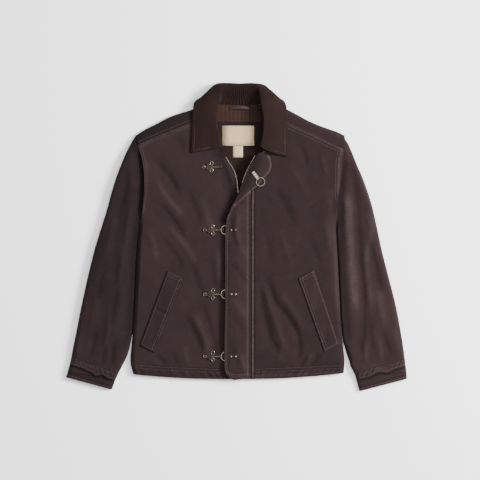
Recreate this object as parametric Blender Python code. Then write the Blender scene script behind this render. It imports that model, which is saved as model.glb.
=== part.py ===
"""A waist-length canvas work jacket laid flat on its back, with four hook-and-ring clasps.

The tables are in millimetres: +X is to the right as the jacket is looked down on, +Y runs to the
collar and +Z is up from the floor. The origin is the middle of the box that holds it, on the floor.
"""

import math

import bmesh
import bpy
import numpy as np
from mathutils import Vector
from mathutils.bvhtree import BVHTree

MM = 0.001

# Cloth and seams
CANVAS = 2.4
TURNED = 2.0
CORDUROY = 3.6
LINING = 1.2
TAPE = 1.0
SEAM_GAP = 0.3
LAY_GAP = 0.6
ARMHOLE_GAP = 0.8

# Heights of the flattened garment above the floor
SEAM_HIGH = 7.2
SEAM_LOW = 6.8
SLEEVE_SEAM_HIGH = 3.9
SLEEVE_SEAM_LOW = 3.5
FOLD_ROUND = 14.0
UNDER_ROUND = 11.0
FRONT_LEVEL = [(-358, 14.0), (-325, 16.0), (-300, 17.5), (-180, 20.5), (-60, 22.0), (60, 22.5),
               (160, 21.5), (230, 19.5), (320, 17.5)]

# Where the side fold gives way to the armhole
UNDERARM_Y = 23.0
ARMHOLE_FLAT_Y = 70.0

# Outlines of the body, from the hem up, as x and y
LEFT_SIDE = [(-257.5, -342.5), (-262.5, -325), (-259, -240), (-253, -126), (-246, 0), (-244, 23),
             (-237, 51), (-231.5, 95), (-229.5, 137), (-232.5, 176), (-239, 209), (-246.5, 230)]
LEFT_CENTRE = [(0, -354), (0, -230), (0, -60), (0, 60), (-1, 112), (-17, 165), (-44, 216),
               (-55, 240), (-60, 275), (-62, 308)]
RIGHT_SIDE = [(268, -339.5), (269.5, -310), (265.5, -270), (258.5, -155), (253, -40), (250.5, 23),
              (250.5, 78), (256, 120), (264, 176), (269.5, 205), (270.5, 219)]
RIGHT_CENTRE = [(13.5, -354), (13.5, -230), (13.5, -60), (13.5, 60), (18, 108), (36, 157),
                (53, 191), (68, 224), (80, 262), (82, 308)]
LEFT_SHOULDER = [(-62, 338), (-110, 318.5), (-166, 300), (-197, 284), (-240, 261), (-251, 253)]
LEFT_YOKE = [(-62, 308.6), (-246.5, 230.6)]
RIGHT_SHOULDER = [(82, 338), (129, 317.5), (191, 285), (230, 270), (262, 258), (269, 254)]
RIGHT_YOKE = [(82, 308.6), (270.5, 219.6)]
LEFT_BACK_SEAM = [(-62, 316), (-246.7, 231.4)]
RIGHT_BACK_SEAM = [(82, 316), (270.2, 232)]
BACK_NECK = [(-46, 321), (-36, 330.5), (8, 329.6), (52, 330.5), (64, 321)]

# Sleeve sections: inner x and y, outer x and y, how far the middle bows to the body, and height
LEFT_SLEEVE = [
    (-244.9, 22, -251.5, 252.6, 16.5, 18.5),
    (-246.4, 13, -268, 226, 13, 20.0),
    (-247.6, 2, -285, 189, 9, 21.5),
    (-248.7, -18, -304, 139, 5, 22.0),
    (-250.6, -50, -322, 75, 3, 22.0),
    (-253.2, -95, -339, 20, 1, 22.0),
    (-255.8, -150, -355, -32, 0, 21.5),
    (-258.0, -190, -371, -98, 0, 21.0),
    (-260.4, -235, -386, -165, 0, 20.5),
    (-266.5, -275, -400, -235, 0, 19.5),
    (-277, -305, -410, -285, 0, 18.5),
    (-287, -325, -414.5, -310, 0, 16.5),
    (-292, -335, -417, -320, 0, 18.0),
    (-300, -352, -421, -334, 0, 18.2),
    (-303, -358, -422.5, -340, 0, 14.5),
    (-311, -381, -426.25, -350, 0, 13.0),
]
RIGHT_SLEEVE = [
    (251.4, 22, 269.8, 253.6, -3, 18.5),
    (252.0, 13, 286, 217.5, -2, 20.0),
    (252.9, 2, 302, 178, -1, 21.5),
    (253.9, -18, 318, 138, 0, 22.0),
    (255.2, -50, 335, 88, 0, 22.0),
    (257.4, -95, 350, 30, 0, 22.0),
    (259.8, -150, 362, -28, 0, 21.5),
    (261.8, -190, 378, -90, 0, 21.0),
    (264.0, -232, 397, -165, 0, 20.5),
    (268.6, -268, 410, -232, 0, 19.5),
    (279, -300, 419, -290, 0, 18.5),
    (284, -320, 421, -310, 0, 16.5),
    (288, -329, 422.5, -318, 0, 18.0),
    (296, -345, 424.5, -334, 0, 18.2),
    (298, -352, 425, -340, 0, 14.5),
    (307, -385, 426.25, -354, 0, 13.0),
]

# Main folds: start x and y, end x and y, half width, and height (a trough is less than 0)
FOLDS = [
    (-219, 200, -110, 70, 13, -2.6),
    (-205, 120, -112, -10, 13, 1.8),
    (-196, 70, -115, -35, 13, -2.2),
    (-145, -217, -111, -272, 11, -2.0),
    (-189, -285, -176, -322, 9, -1.6),
    (-45, -130, -38, -300, 13, -2.2),
    (-90, 60, -70, -60, 16, 1.2),
    (70, -135, 138, -212, 11, -2.2),
    (68, -172, 92, -285, 11, -2.2),
    (176, -250, 147, -322, 10, -2.0),
    (209, -285, 184, -322, 9, -1.8),
    (164, 235, 166, 190, 9, -1.4),
    (110, 150, 170, 20, 16, 1.4),
    (-290, 130, -300, 10, 12, -2.4),
    (-275, 60, -290, -90, 12, 2.0),
    (-310, 30, -345, -120, 12, 2.2),
    (-300, -60, -330, -200, 12, -2.6),
    (-345, -90, -372, -230, 12, -2.2),
    (-290, -150, -320, -270, 11, 2.0),
    (-330, -250, -385, -300, 12, -2.0),
    (300, 120, 322, 0, 12, -2.4),
    (280, 90, 285, -60, 12, 2.0),
    (325, 50, 352, -90, 12, 2.2),
    (312, -60, 335, -200, 12, -2.6),
    (355, -80, 385, -220, 12, -2.2),
    (285, -120, 305, -250, 11, 2.0),
    (330, -240, 395, -290, 12, -2.0),
]
FOLD_FADE = 0.2

# Puckers along the turned-up hem: x and how deep each dips
HEM_PUCKERS = [(-232, 1.1), (-205, 0.8), (-172, 1.4), (-148, 1.0), (-120, 1.4), (-96, 0.9), (-60, 1.1),
               (-22, 0.8), (74, 1.0), (104, 0.9), (132, 1.5), (152, 1.3), (172, 1.6), (196, 1.3),
               (222, 1.0), (246, 0.9)]
PUCKER_HALF = 8.0
PUCKER_TOP_Y = -325.0

# Collar sections: the neck seam, the roll, the middle of the fall and the free edge, as x, y and z.
# A z of less than 0 is a height above the cloth below, with its sign changed.
COLLAR = [
    ((-41, 230, 20), (-37, 223, 30.5), (-75, 216, -8.0), (-113.5, 209.5, -2.3)),
    ((-47, 252, 20), (-44, 248, 31.5), (-78, 246, -9.0), (-112, 243, -2.3)),
    ((-53, 276, 19), (-49, 272, 33), (-80, 276, -9.5), (-110.5, 281, -2.3)),
    ((-54, 303, 17), (-50, 299, 34), (-80, 304, 31), (-108, 317, 24)),
    ((-52, 324, 12), (-46, 322, 34), (-78, 332, 31), (-104, 336, 17)),
    ((-44, 333, 7), (-42, 348, 33), (-72, 358, 28), (-88, 346, 9)),
    ((-32, 333, 4.6), (-39, 371, 31), (-51, 380, 20), (-62, 357, 4.2)),
    ((-14, 331.5, 4), (-22, 377, 28), (-26, 382.6, 14), (-30, 360, 3.2)),
    ((8, 331, 3.6), (8, 376.5, 26), (8, 381, 13), (8, 362, 3.0)),
    ((30, 331.5, 4), (38, 377, 28), (42, 382, 14), (46, 360, 3.2)),
    ((49, 333, 4.6), (55, 370, 31), (67, 378, 20), (79, 357, 4.2)),
    ((61, 333, 7), (60, 348, 33), (89, 357, 28), (106, 346, 9)),
    ((69, 324, 12), (64, 322, 34), (95, 332, 31), (120, 335, 17)),
    ((72, 303, 17), (68, 299, 34), (98, 304, 31), (125, 317, 24)),
    ((71, 276, 19), (68, 272, 33), (98, 274, -9.5), (126.5, 278, -2.3)),
    ((68, 252, 20), (66, 248, 31.5), (98, 240, -9.0), (128, 238, -2.3)),
    ((62, 230, 20), (60, 224, 30.5), (90, 209, -8.0), (128.5, 199.5, -2.3)),
]

# Storm flap sections: the seam, the roll and the free edge, and the degrees that the edge is turned
FLAP = [
    ((36.6, -351), (-5, -356.4), (-5, -356.4), 0),
    ((36.6, -346), (-17, -350.5), (-17, -350.5), 0),
    ((36.6, -337), (-25.5, -340), (-25.5, -340), 0),
    ((36.6, -322), (-29.5, -322), (-29.5, -322), 0),
    ((36.6, -260), (-30, -260), (-30, -260), 0),
    ((36.6, -180), (-28.5, -180), (-28.5, -180), 0),
    ((36.6, -90), (-28, -90), (-28, -90), 0),
    ((36.6, -20), (-27.5, -20), (-27.5, -20), 0),
    ((36.6, 20), (-27, 17), (-27, 17), 0),
    ((36.6, 40), (-25, 34), (-25, 34), 20),
    ((36.6, 58), (-22, 50), (-19, 53), 110),
    ((36.6, 78), (-15, 67.5), (-5, 78), 180),
    ((36.6, 105), (-1, 97.5), (20, 101.5), 180),
    ((37, 137), (12.5, 127.5), (53, 128), 180),
    ((45, 164), (23, 152.5), (69, 147), 180),
    ((54, 190), (34, 178), (84, 166), 180),
    ((64, 206), (46, 196), (86.5, 184), 180),
    ((73, 215), (56, 208), (82, 201), 180),
]
FLAP_THICK = 2.6
FLAP_LIFT = 7.8
ROLL_RADIUS = 2.9
FLAP_SECTIONS = 34
SEAM_RIDGE = [(40.4, -351), (40.4, -180), (40.4, 0), (40.4, 80), (41.0, 116)]
RIDGE_WIDE = 4.4
RIDGE_HIGH = 2.2

# Hand pocket welts: the corners of each, from the top outer one round
LEFT_POCKET = [(-171, -85), (-132, -103), (-205, -288), (-240, -270)]
RIGHT_POCKET = [(192, -82.5), (155, -103), (220, -286), (254, -267)]

# Zip: the line of the teeth on each side, from the hem up
LEFT_TEETH = [(5.0, -345), (5.0, -100), (5.0, 60), (4.5, 112), (2.5, 138), (-1.5, 157), (-8, 172), (-18, 187),
              (-27, 201)]
RIGHT_TEETH = [(8.4, -345), (8.4, -100), (8.4, 60), (9.2, 108), (13, 134), (19.5, 153), (27.2, 170), (37, 189),
               (47, 205)]
CHAIN_WIDE = 2.6
CHAIN_HIGH = 2.2
TAPE_WIDE = 13.0

# Neck pieces on the inside of the back: left, right, bottom and top
LINING_TOP = 224.0
FACING_TOP = 286.0
INSIDE_FLOOR = 2.7
LABEL = (-36.0, 44.0, 228.0, 278.0)
SIZE_TAG = (-9.0, 16.0, 199.0, 227.4)
LOOP = (-17.0, 32.0, 320.5, 6.5)

# Clasps, from the top down: the middle height of each and the x of its hook's tail
CLASPS = [(174.5, -82.0), (17.5, -79.0), (-142.5, -79.0), (-297.5, -79.0)]
HOOK_THICK = 1.2
HOOK_WIDE = 6.4
HOOK_REACH = 45.0
HOOK_CURL = 2.6
BAR_RADIUS = 1.1
RING_WIRE = 0.9
RING_HALF = 10.5
RING_LONG = 9.75
RING_PLATE = 22.0
PLATE_THICK = 0.8
PLATE_WIDE = 7.0
CURL = 1.7
FLAP_PLATE_X = 3.0
RIVETS = [5.0, 16.0]
RIVET_RADIUS = 2.6
FREE_PLATE = (41.0, 162.0)
FREE_TURN = -53.0


def clear_scene():
    """Takes every object out of the open scene."""
    for thing in list(bpy.data.objects):
        bpy.data.objects.remove(thing, do_unlink=True)


def finish(name, colour, roughness, metallic=0.0):
    """A plain Principled material."""
    material = bpy.data.materials.new(name)
    material.use_nodes = True
    shader = material.node_tree.nodes["Principled BSDF"]
    shader.inputs["Base Color"].default_value = (*colour, 1.0)
    shader.inputs["Roughness"].default_value = roughness
    shader.inputs["Metallic"].default_value = metallic
    return material


def unit(vector):
    """A vector made one long."""
    vector = np.array(vector, float)
    return vector / np.linalg.norm(vector)


def smooth(share):
    """A step from 0 to 1 with level ends."""
    share = min(max(share, 0.0), 1.0)
    return share * share * (3.0 - 2.0 * share)


def rounded(distance, width):
    """The height of a quarter-round edge, from 0 at the edge to 1 at its full width."""
    share = min(max(distance / width, 0.0), 1.0)
    return math.sqrt(max(0.0, 1.0 - (1.0 - share) ** 2))


def spline(points, share):
    """The point a share of the way along a smooth curve through the points."""
    rows = np.array(points, float)
    at = np.concatenate([[0.0], np.cumsum(np.linalg.norm(np.diff(rows[:, :2], axis=0), axis=1))])
    slope = np.gradient(rows, at, axis=0)
    where = min(max(share, 0.0), 1.0) * at[-1]
    i = min(int(np.searchsorted(at, where, side="right")) - 1, len(rows) - 2)
    width = at[i + 1] - at[i]
    t = (where - at[i]) / width
    ends = (2 * t**3 - 3 * t**2 + 1) * rows[i] + (3 * t**2 - 2 * t**3) * rows[i + 1]
    bends = (t**3 - 2 * t**2 + t) * slope[i] + (t**3 - t**2) * slope[i + 1]
    return ends + bends * width


def level(y):
    """The height of the fronts at a distance up the body."""
    return float(np.interp(y, [row[0] for row in FRONT_LEVEL], [row[1] for row in FRONT_LEVEL]))


def fold_relief(x, y):
    """How far the main folds lift or drop the cloth at a place."""
    total = 0.0
    for x0, y0, x1, y1, half, height in FOLDS:
        long = math.hypot(x1 - x0, y1 - y0)
        ux, uy = (x1 - x0) / long, (y1 - y0) / long
        along = (x - x0) * ux + (y - y0) * uy
        off = (x - x0) * uy - (y - y0) * ux
        fade = smooth(along / (FOLD_FADE * long)) * smooth((long - along) / (FOLD_FADE * long))
        total += height * fade * math.exp(-((off / half) ** 2))
    return total


def hem_relief(x, y):
    """How far the puckers of the turned-up hem drop the cloth."""
    if y > PUCKER_TOP_Y:
        return 0.0
    share = smooth((PUCKER_TOP_Y - y) / 10.0)
    return -share * sum(deep * math.exp(-(((x - at) / PUCKER_HALF) ** 2)) for at, deep in HEM_PUCKERS)


def side_share(y):
    """1 where the side is folded round, 0 along the armhole."""
    return smooth((ARMHOLE_FLAT_Y - y) / (ARMHOLE_FLAT_Y - UNDERARM_Y))


def add_solid(name, points, faces, material, smooth_shade=True):
    """Makes one closed object from points in millimetres."""
    shape = bmesh.new()
    made = [shape.verts.new(Vector(point) * MM) for point in points]
    for face in faces:
        shape.faces.new([made[i] for i in face])
    bmesh.ops.triangulate(shape, faces=shape.faces[:])
    bmesh.ops.recalc_face_normals(shape, faces=shape.faces[:])
    mesh = bpy.data.meshes.new(name)
    shape.to_mesh(mesh)
    shape.free()
    if smooth_shade:
        mesh.shade_smooth()
        mesh.set_sharp_from_angle(angle=math.radians(50))
    thing = bpy.data.objects.new(name, mesh)
    thing.data.materials.append(material)
    bpy.context.scene.collection.objects.link(thing)
    return thing


def facing(grid):
    """The unit normals of a grid of points, up where its columns run to +X and its rows to +Y."""
    normal = np.cross(np.gradient(grid, axis=1), np.gradient(grid, axis=0))
    return normal / np.linalg.norm(normal, axis=2, keepdims=True)


def wall(name, grid, thick, material, up=1.0, above=0.0, first=None, last=None, seamed=False):
    """A wall of cloth whose outer face stands `above` the grid, with its inner face `thick` below that.

    `first` and `last` give the way out at the first and the last column, where a seam sets it. With
    `seamed`, the first row is an armhole and its thickness runs along the armhole, not across it.
    """
    out = facing(grid) * up
    if first is not None:
        out[:, 0] = first
    if last is not None:
        out[:, -1] = last
    if seamed:
        out[0, :, 0] = 0.0
        out[0] /= np.linalg.norm(out[0], axis=1, keepdims=True)
    outer = grid + out * above
    inner = outer - out * thick
    return slab(name, outer, inner, material)


def slab(name, outer, inner, material):
    """A closed solid between two grids of the same shape."""
    rows, columns = outer.shape[:2]
    count = rows * columns
    faces = []
    for i in range(rows - 1):
        for j in range(columns - 1):
            a = i * columns + j
            quad = (a, a + 1, a + columns + 1, a + columns)
            faces.append(quad)
            faces.append(tuple(count + k for k in reversed(quad)))
    rim = [j for j in range(columns)]
    rim += [i * columns + columns - 1 for i in range(1, rows)]
    rim += [(rows - 1) * columns + j for j in range(columns - 2, -1, -1)]
    rim += [i * columns for i in range(rows - 2, 0, -1)]
    for a, b in zip(rim, rim[1:] + rim[:1]):
        faces.append((b, a, count + a, count + b))
    points = np.concatenate([outer.reshape(-1, 3), inner.reshape(-1, 3)])
    return add_solid(name, points.tolist(), faces, material)


def tree_of(things):
    """The surfaces of some solids, for laying other pieces on them."""
    points, faces = [], []
    for thing in things:
        start = len(points)
        points += [v.co / MM for v in thing.data.vertices]
        faces += [tuple(start + k for k in p.vertices) for p in thing.data.polygons]
    return BVHTree.FromPolygons(points, faces)


def top_of(tree, x, y, otherwise=0.0):
    """The height of the highest surface at a place."""
    hit = tree.ray_cast(Vector((x, y, 200.0)), Vector((0, 0, -1)))[0]
    return hit.z if hit else otherwise


def bottom_of(tree, x, y):
    """The height of the lowest surface at a place."""
    hit = tree.ray_cast(Vector((x, y, -50.0)), Vector((0, 0, 1)))[0]
    return hit.z if hit else 100.0


def resting(tree, x, y, reach=3.0):
    """The highest surface within a small reach of a place, so that a piece laid there clears it."""
    around = [(0, 0), (reach, 0), (-reach, 0), (0, reach), (0, -reach)]
    return max(top_of(tree, x + dx, y + dy) for dx, dy in around)


def edge_columns(width, count, fold):
    """Shares across a panel: close together round its folded side, then even."""
    turned = [fold * (1 - math.cos(math.radians(a))) / width for a in (0, 25, 50, 72)]
    flat = np.linspace(fold / width, 1.0, count)
    return turned + flat.tolist()


def row_shares(bottom, count):
    """Shares up a panel: close together at its hem, then even."""
    return bottom + np.linspace(bottom[-1], 1.0, count)[1:].tolist()


HEM_ROWS = [0.0, 0.016, 0.032, 0.05, 0.075]


def front(name, side, centre, material):
    """A front panel, from its folded side to its centre edge."""
    width = abs(centre[0][0] - side[0][0])
    columns = edge_columns(width, 12, FOLD_ROUND)
    outward = -1.0 if side[0][0] < 0 else 1.0
    grid, ends = [], []
    for v in row_shares(HEM_ROWS, 17):
        edge, middle = spline(side, v), spline(centre, v)
        folded = side_share(edge[1])
        ends.append(unit((outward * folded, 0, 1 - folded)))
        row = []
        for u in columns:
            x, y = edge + (middle - edge) * u
            y -= 4.0 * 4 * u * (1 - u) * (1 - v) ** 8
            off = np.linalg.norm(middle - edge) * u
            inside = smooth(off / 40.0)
            high = level(y) + inside * (fold_relief(x, y) + hem_relief(x, y))
            low = SEAM_HIGH + (1 - folded) * (high - SEAM_HIGH)
            row.append((x, y, low + (high - low) * rounded(off, FOLD_ROUND)))
        grid.append(row if outward < 0 else row[::-1])
    if outward < 0:
        return wall(name, np.array(grid), CANVAS, material, first=ends)
    return wall(name, np.array(grid), CANVAS, material, last=ends)


def back_panel(material):
    """The back, flat on the floor with its sides turned up to the side seams."""
    turned = [UNDER_ROUND * (1 - math.cos(math.radians(a))) for a in (0, 30, 60, 90)]
    edge = back_edge()
    corners = spline(LEFT_SIDE, 1.0), spline(RIGHT_SIDE, 1.0)
    grid, ends = [], []
    for v in row_shares([0.0], 20):
        left, right = spline(LEFT_SIDE, v), spline(RIGHT_SIDE, v)
        width = np.linalg.norm(right - left)
        folded = [side_share(left[1]), side_share(right[1])]
        ends.append([unit((-folded[0], 0, folded[0] - 1)), unit((folded[1], 0, folded[1] - 1))])
        shares = [d / width for d in turned] + np.linspace(0, 1, 11)[1:-1].tolist()
        shares += [1 - d / width for d in reversed(turned)]
        row = []
        for u in shares:
            x, y = left + (right - left) * u
            y -= 11.0 * 4 * u * (1 - u) * (1 - v) ** 8
            top = (corners[0] + (corners[1] - corners[0]) * u)[1]
            y += smooth((v - 0.6) / 0.4) * (edge_at(edge, x) - top)
            high = SEAM_LOW * folded[0 if u < 0.5 else 1]
            off = min(u, 1 - u) * width
            row.append((x, y, high * (1 - rounded(off, UNDER_ROUND))))
        grid.append(row)
    ends = np.array(ends)
    return wall("back", np.array(grid), CANVAS, material, up=-1.0, first=ends[:, 0], last=ends[:, 1])


def yoke(name, seam, crest, under, material):
    """A shoulder yoke, from the seam on the front over the shoulder to the seam on the back."""
    grid = []
    for j in np.linspace(0, 1, 10):
        near, top = spline(seam, j), spline(crest, j)
        reach = np.linalg.norm(near - top)
        inward = (near - top) / reach
        back = spline(under, j)
        down = np.linalg.norm(back - top)
        high = level(near[1]) + 0.8
        round_wide = 14.0 + 14.0 * j**4
        row = []
        over = [reach, (reach + 14.0) / 2, 14.0, 8.0, 4.0, 1.2]
        for off in over:
            rise = SEAM_LOW + (high - SEAM_LOW) * rounded(off, round_wide)
            row.append((*(top + inward * off), rise))
        for off in [0.0, 1.5, 5.0, UNDER_ROUND, down]:
            row.append((*(top + (back - top) / down * off), SEAM_LOW * (1 - rounded(off, UNDER_ROUND))))
        grid.append(row)
    return wall(name, np.array(grid), CANVAS, material, up=1.0 if seam[0][0] < 0 else -1.0)


def armhole(side, crest):
    """The armhole line, from the underarm up to the shoulder."""
    line = [tuple(spline(side, share)) for share in np.linspace(0, 1, 60)]
    return [(x, y) for x, y in line if y >= UNDERARM_Y - 1] + [crest]


def sleeve_grid(rows, arm, along, across, top):
    """The points of one half of a sleeve, from its inner fold to its outer one, and its ways out there."""
    away = -ARMHOLE_GAP if arm[0][0] < 0 else ARMHOLE_GAP
    grid, ends = [], []
    for step in along:
        x0, y0, x1, y1, bow, high = between(rows, step / (len(rows) - 1))
        long = math.hypot(x1 - x0, y1 - y0)
        ux, uy = (x1 - x0) / long, (y1 - y0) / long
        ends.append([(-ux, -uy, 0), (ux, uy, 0)])
        turn = 13.0 + 27.0 * (1 - smooth(step / 2))
        under_turn = UNDER_ROUND + 36.0 * (1 - smooth(step / 4))
        out_turn = 13.0 + 15.0 * (1 - smooth(step / 2))
        seam = 1 - smooth(step)
        joined = 1 - smooth(step / 4)
        seam_high = SLEEVE_SEAM_HIGH + (SEAM_HIGH - SLEEVE_SEAM_HIGH) * joined
        seam_low = SLEEVE_SEAM_LOW + (SEAM_LOW - SLEEVE_SEAM_LOW) * joined
        row = []
        for s in across:
            lift = 4 * s * (1 - s) * bow
            x, y = x0 + (x1 - x0) * s + uy * lift, y0 + (y1 - y0) * s - ux * lift
            if seam:
                at = spline(arm, s)
                x, y = x + seam * (at[0] + away - x), y + seam * (at[1] - y)
            if top:
                inside, outside = rounded(s * long, turn), rounded((1 - s) * long, out_turn)
                flat = smooth(s * long / 30) * smooth((1 - s) * long / 30)
                full = high + flat * smooth(step) * fold_relief(x, y)
                z = seam_high + (full - seam_high) * inside * outside
            else:
                inside, outside = rounded(s * long, under_turn), rounded((1 - s) * long, UNDER_ROUND)
                z = seam_low * (1 - inside * outside)
            row.append((x, y, z))
        grid.append(row)
    return np.array(grid), np.array(ends)


def sleeve(side, rows, arm, material):
    """A sleeve as its top and its under half, seamed along both folds."""
    up = 1.0 if side == "left" else -1.0
    along = [0, 0.5, 1, 1.5, 2, 3, 4, 4.6, 5.2, 6, 6.6, 7.3, 8, 8.6, 9.3, 10, 11, 12, 13, 13.5, 14, 15]
    across = [0.0, 0.015, 0.05, 0.12, 0.23, 0.36, 0.5, 0.64, 0.77, 0.88, 0.95, 0.985, 1.0]
    grid, ends = sleeve_grid(rows, arm, along, across, True)
    wall(f"sleeve_top_{side}", grid, CANVAS, material, up=up, first=ends[:, 0], last=ends[:, 1], seamed=True)
    along = [0, 1, 2, 3, 4, 5, 6.3, 7.6, 9, 10.4, 12, 13.5, 15]
    across = [0.0, 0.02, 0.07, 0.2, 0.5, 0.8, 0.93, 0.98, 1.0]
    grid, ends = sleeve_grid(rows, arm, along, across, False)
    wall(f"sleeve_under_{side}", grid, CANVAS, material, up=-up, first=ends[:, 0], last=ends[:, 1], seamed=True)


def between(rows, share):
    """The point a share of the way through rows of points, on a curve through them all."""
    rows = np.array(rows, float)
    at = share * (len(rows) - 1)
    i = min(int(at), len(rows) - 2)
    t = at - i
    a, b = rows[i], rows[i + 1]
    before, after = rows[max(i - 1, 0)], rows[min(i + 2, len(rows) - 1)]
    bend = (2 * before - 5 * a + 4 * b - after) * t**2 + (3 * a - before - 3 * b + after) * t**3
    return 0.5 * (2 * a + (b - before) * t + bend)


def collar(tree, material):
    """The collar, one padded fold from its neck seam over the roll to the free edge."""
    lines = []
    for k in range(4):
        placed = []
        for section in COLLAR:
            x, y, z = section[k]
            placed.append((x, y, z if z > 0 else resting(tree, x, y) - z))
        lines.append(placed)
    grid = []
    for share in np.linspace(0, 1, 33):
        seam, roll, fall, edge = (between(line, share) for line in lines)
        bend = [seam, (seam + roll) / 2, roll, fall, edge]
        grid.append([between(bend, at) for at in (0.0, 0.2, 0.38, 0.5, 0.6, 0.75, 0.88, 1.0)])
    return wall("collar", np.array(grid), CORDUROY, material, up=-1.0, above=CORDUROY / 2)


def flap_section(tree, seam, roll, edge, turned):
    """The middle line of the flap at one section, from its seam round the roll to its free edge."""
    reach = np.linalg.norm(roll - seam)
    out = (roll - seam) / reach
    angle = math.radians(turned)
    arc = [angle * k / 4 for k in range(1, 5)]
    if turned < 5:
        steps = [(k, 0.0) for k in (1.2, 2.4, 3.6, 4.8, 5.6, 6.4)]
    else:
        steps = [(ROLL_RADIUS * math.sin(a), ROLL_RADIUS * (1 - math.cos(a))) for a in arc]
        end = steps[-1]
        if turned < 175:
            steps += [(end[0] + k * math.cos(angle), end[1] + k * math.sin(angle)) for k in (1.0, 2.0)]
    run = reach - max(step[0] for step in steps)
    row = []
    for u in (0.0, 0.3, 0.6, 0.85, 1.0):
        x, y = seam + out * run * u
        lift = 2.2 + (FLAP_LIFT - 2.2) * smooth(u * run / 34.0)
        row.append((x, y, max(resting(tree, x, y), level(y)) + lift))
    base = row[-1][2]
    row += [(*(seam + out * (run + dx)), base + dz) for dx, dz in steps]
    if turned >= 175:
        last = np.array(row[-1])
        land = resting(tree, *edge, reach=6.0) + 3.4
        far = np.array([*edge, max(land, last[2] - 0.11 * np.linalg.norm(edge - last[:2]))])
        row += [tuple(last + (far - last) * k) for k in (0.5, 1.0)]
    return row


def flap(tree, material):
    """The storm flap over the zip, with its top rolled back like a lapel."""
    grid = []
    for share in np.linspace(0, 1, FLAP_SECTIONS):
        seam, roll, edge = (between([row[k] for row in FLAP], share) for k in range(3))
        turned = float(np.interp(share * (len(FLAP) - 1), range(len(FLAP)), [row[3] for row in FLAP]))
        grid.append(flap_section(tree, seam, roll, edge, turned))
    return wall("storm_flap", np.array(grid), FLAP_THICK, material, up=-1.0, above=FLAP_THICK / 2)


def bar(name, path, wide, high, material):
    """A bar of rectangular section standing on a path of points."""
    rows = np.array(path, float)
    side = np.cross(np.gradient(rows, axis=0), (0, 0, 1))
    side /= np.linalg.norm(side, axis=1, keepdims=True)
    low = np.stack([rows - side * wide / 2, rows + side * wide / 2], axis=1)
    return slab(name, low + np.array([0, 0, high]), low, material)


def zip_side(side, teeth, away, tape_cloth, metal):
    """One tape of the zip and the chain of teeth along its edge."""
    low, line = [], []
    for share in 1 - np.linspace(1, 0, 22) ** 1.6:
        x, y = spline(teeth, share)
        ahead = spline(teeth, min(share + 0.01, 1.0)) - spline(teeth, max(share - 0.01, 0.0))
        across = np.array([-ahead[1], ahead[0]]) / np.linalg.norm(ahead) * away
        z = level(y) - CANVAS - 2 * LAY_GAP
        inner, outer = np.array([x, y]) - across * 0.6, np.array([x, y]) + across * TAPE_WIDE
        low.append([(*inner, z), (*(inner + outer) / 2, z), (*outer, z)])
        line.append((*(np.array([x, y]) + across * 0.8), z + SEAM_GAP))
    wall(f"zip_tape_{side}", np.array(low), TAPE, tape_cloth, up=-1.0 if away > 0 else 1.0)
    return bar(f"zip_chain_{side}", line, CHAIN_WIDE, CHAIN_HIGH, metal)


def pocket(name, corners, tree, material):
    """A pocket's welt: a stitched strip that lies on the front."""
    a, b, c, d = (np.array(corner, float) for corner in corners)
    grid = []
    for v in np.linspace(1, 0, 14):
        row = []
        for u in np.linspace(0, 1, 5):
            x, y = (a + (b - a) * u) * (1 - v) + (d + (c - d) * u) * v
            row.append((x, y, resting(tree, x, y, reach=4.0) + LAY_GAP + TURNED + 0.5 * (1 - u)))
        grid.append(row if a[0] < b[0] else row[::-1])
    return wall(name, np.array(grid), TURNED, material)


def back_edge():
    """The top edge of the back, from one armhole to the other, just short of the yokes' back seams."""
    left = [(x, y - 2 * LAY_GAP) for x, y in reversed(LEFT_BACK_SEAM)]
    right = [(x, y - 2 * LAY_GAP) for x, y in RIGHT_BACK_SEAM]
    return left + BACK_NECK + right


def edge_at(edge, x):
    """The height up the body of an edge, given as points from left to right."""
    return float(np.interp(x, [p[0] for p in edge], [p[1] for p in edge]))


def inside_piece(name, left, right, bottom, top, material, thick=LINING, floor=INSIDE_FLOOR, columns=3, rows=3):
    """A flat piece that lies on the inside of the back."""
    edge = back_edge()
    grid = []
    for v in np.linspace(0, 1, rows):
        row = []
        for x in np.linspace(left, right, columns):
            high = min(top, edge_at(edge, x) - 1.4)
            row.append((x, bottom + (high - bottom) * v, floor + thick))
        grid.append(row)
    return wall(name, np.array(grid), thick, material)


def hanger_loop(material):
    """The loop at the back of the neck, arched off the cloth."""
    left, right, y, rise = LOOP
    path = []
    for share in np.linspace(0, 1, 11):
        path.append((left + (right - left) * share, y + 3.0 * math.sin(math.pi * share),
                     4.3 + rise * math.sin(math.pi * share)))
    return bar("hanger_loop", path, 7.0, 1.2, material)


def place(thing, at, turn=(0.0, 0.0, 0.0)):
    """Puts an object at a place in millimetres, turned by degrees."""
    thing.location = Vector(at) * MM
    thing.rotation_euler = [math.radians(angle) for angle in turn]
    bpy.context.view_layer.update()
    return thing


def strip(name, path, wide, thick, material):
    """A bent metal strip: a path of x and z, with its width along y."""
    line = np.array([(x, 0.0, z) for x, z in path])
    run = np.gradient(line, axis=0)
    up = np.stack([-run[:, 2], np.zeros(len(run)), run[:, 0]], axis=1)
    up /= np.linalg.norm(up, axis=1, keepdims=True)
    outer, inner = line + up * thick / 2, line - up * thick / 2
    side = np.array([0, wide / 2, 0])
    return slab(name, np.stack([outer - side, outer + side], axis=1),
                np.stack([inner - side, inner + side], axis=1), material)


def arc(centre, radius, start, stop, count):
    """Points round part of a circle, by degrees."""
    turns = [math.radians(start + (stop - start) * k / (count - 1)) for k in range(count)]
    return [(centre[0] + radius * math.cos(a), centre[1] + radius * math.sin(a)) for a in turns]


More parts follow.
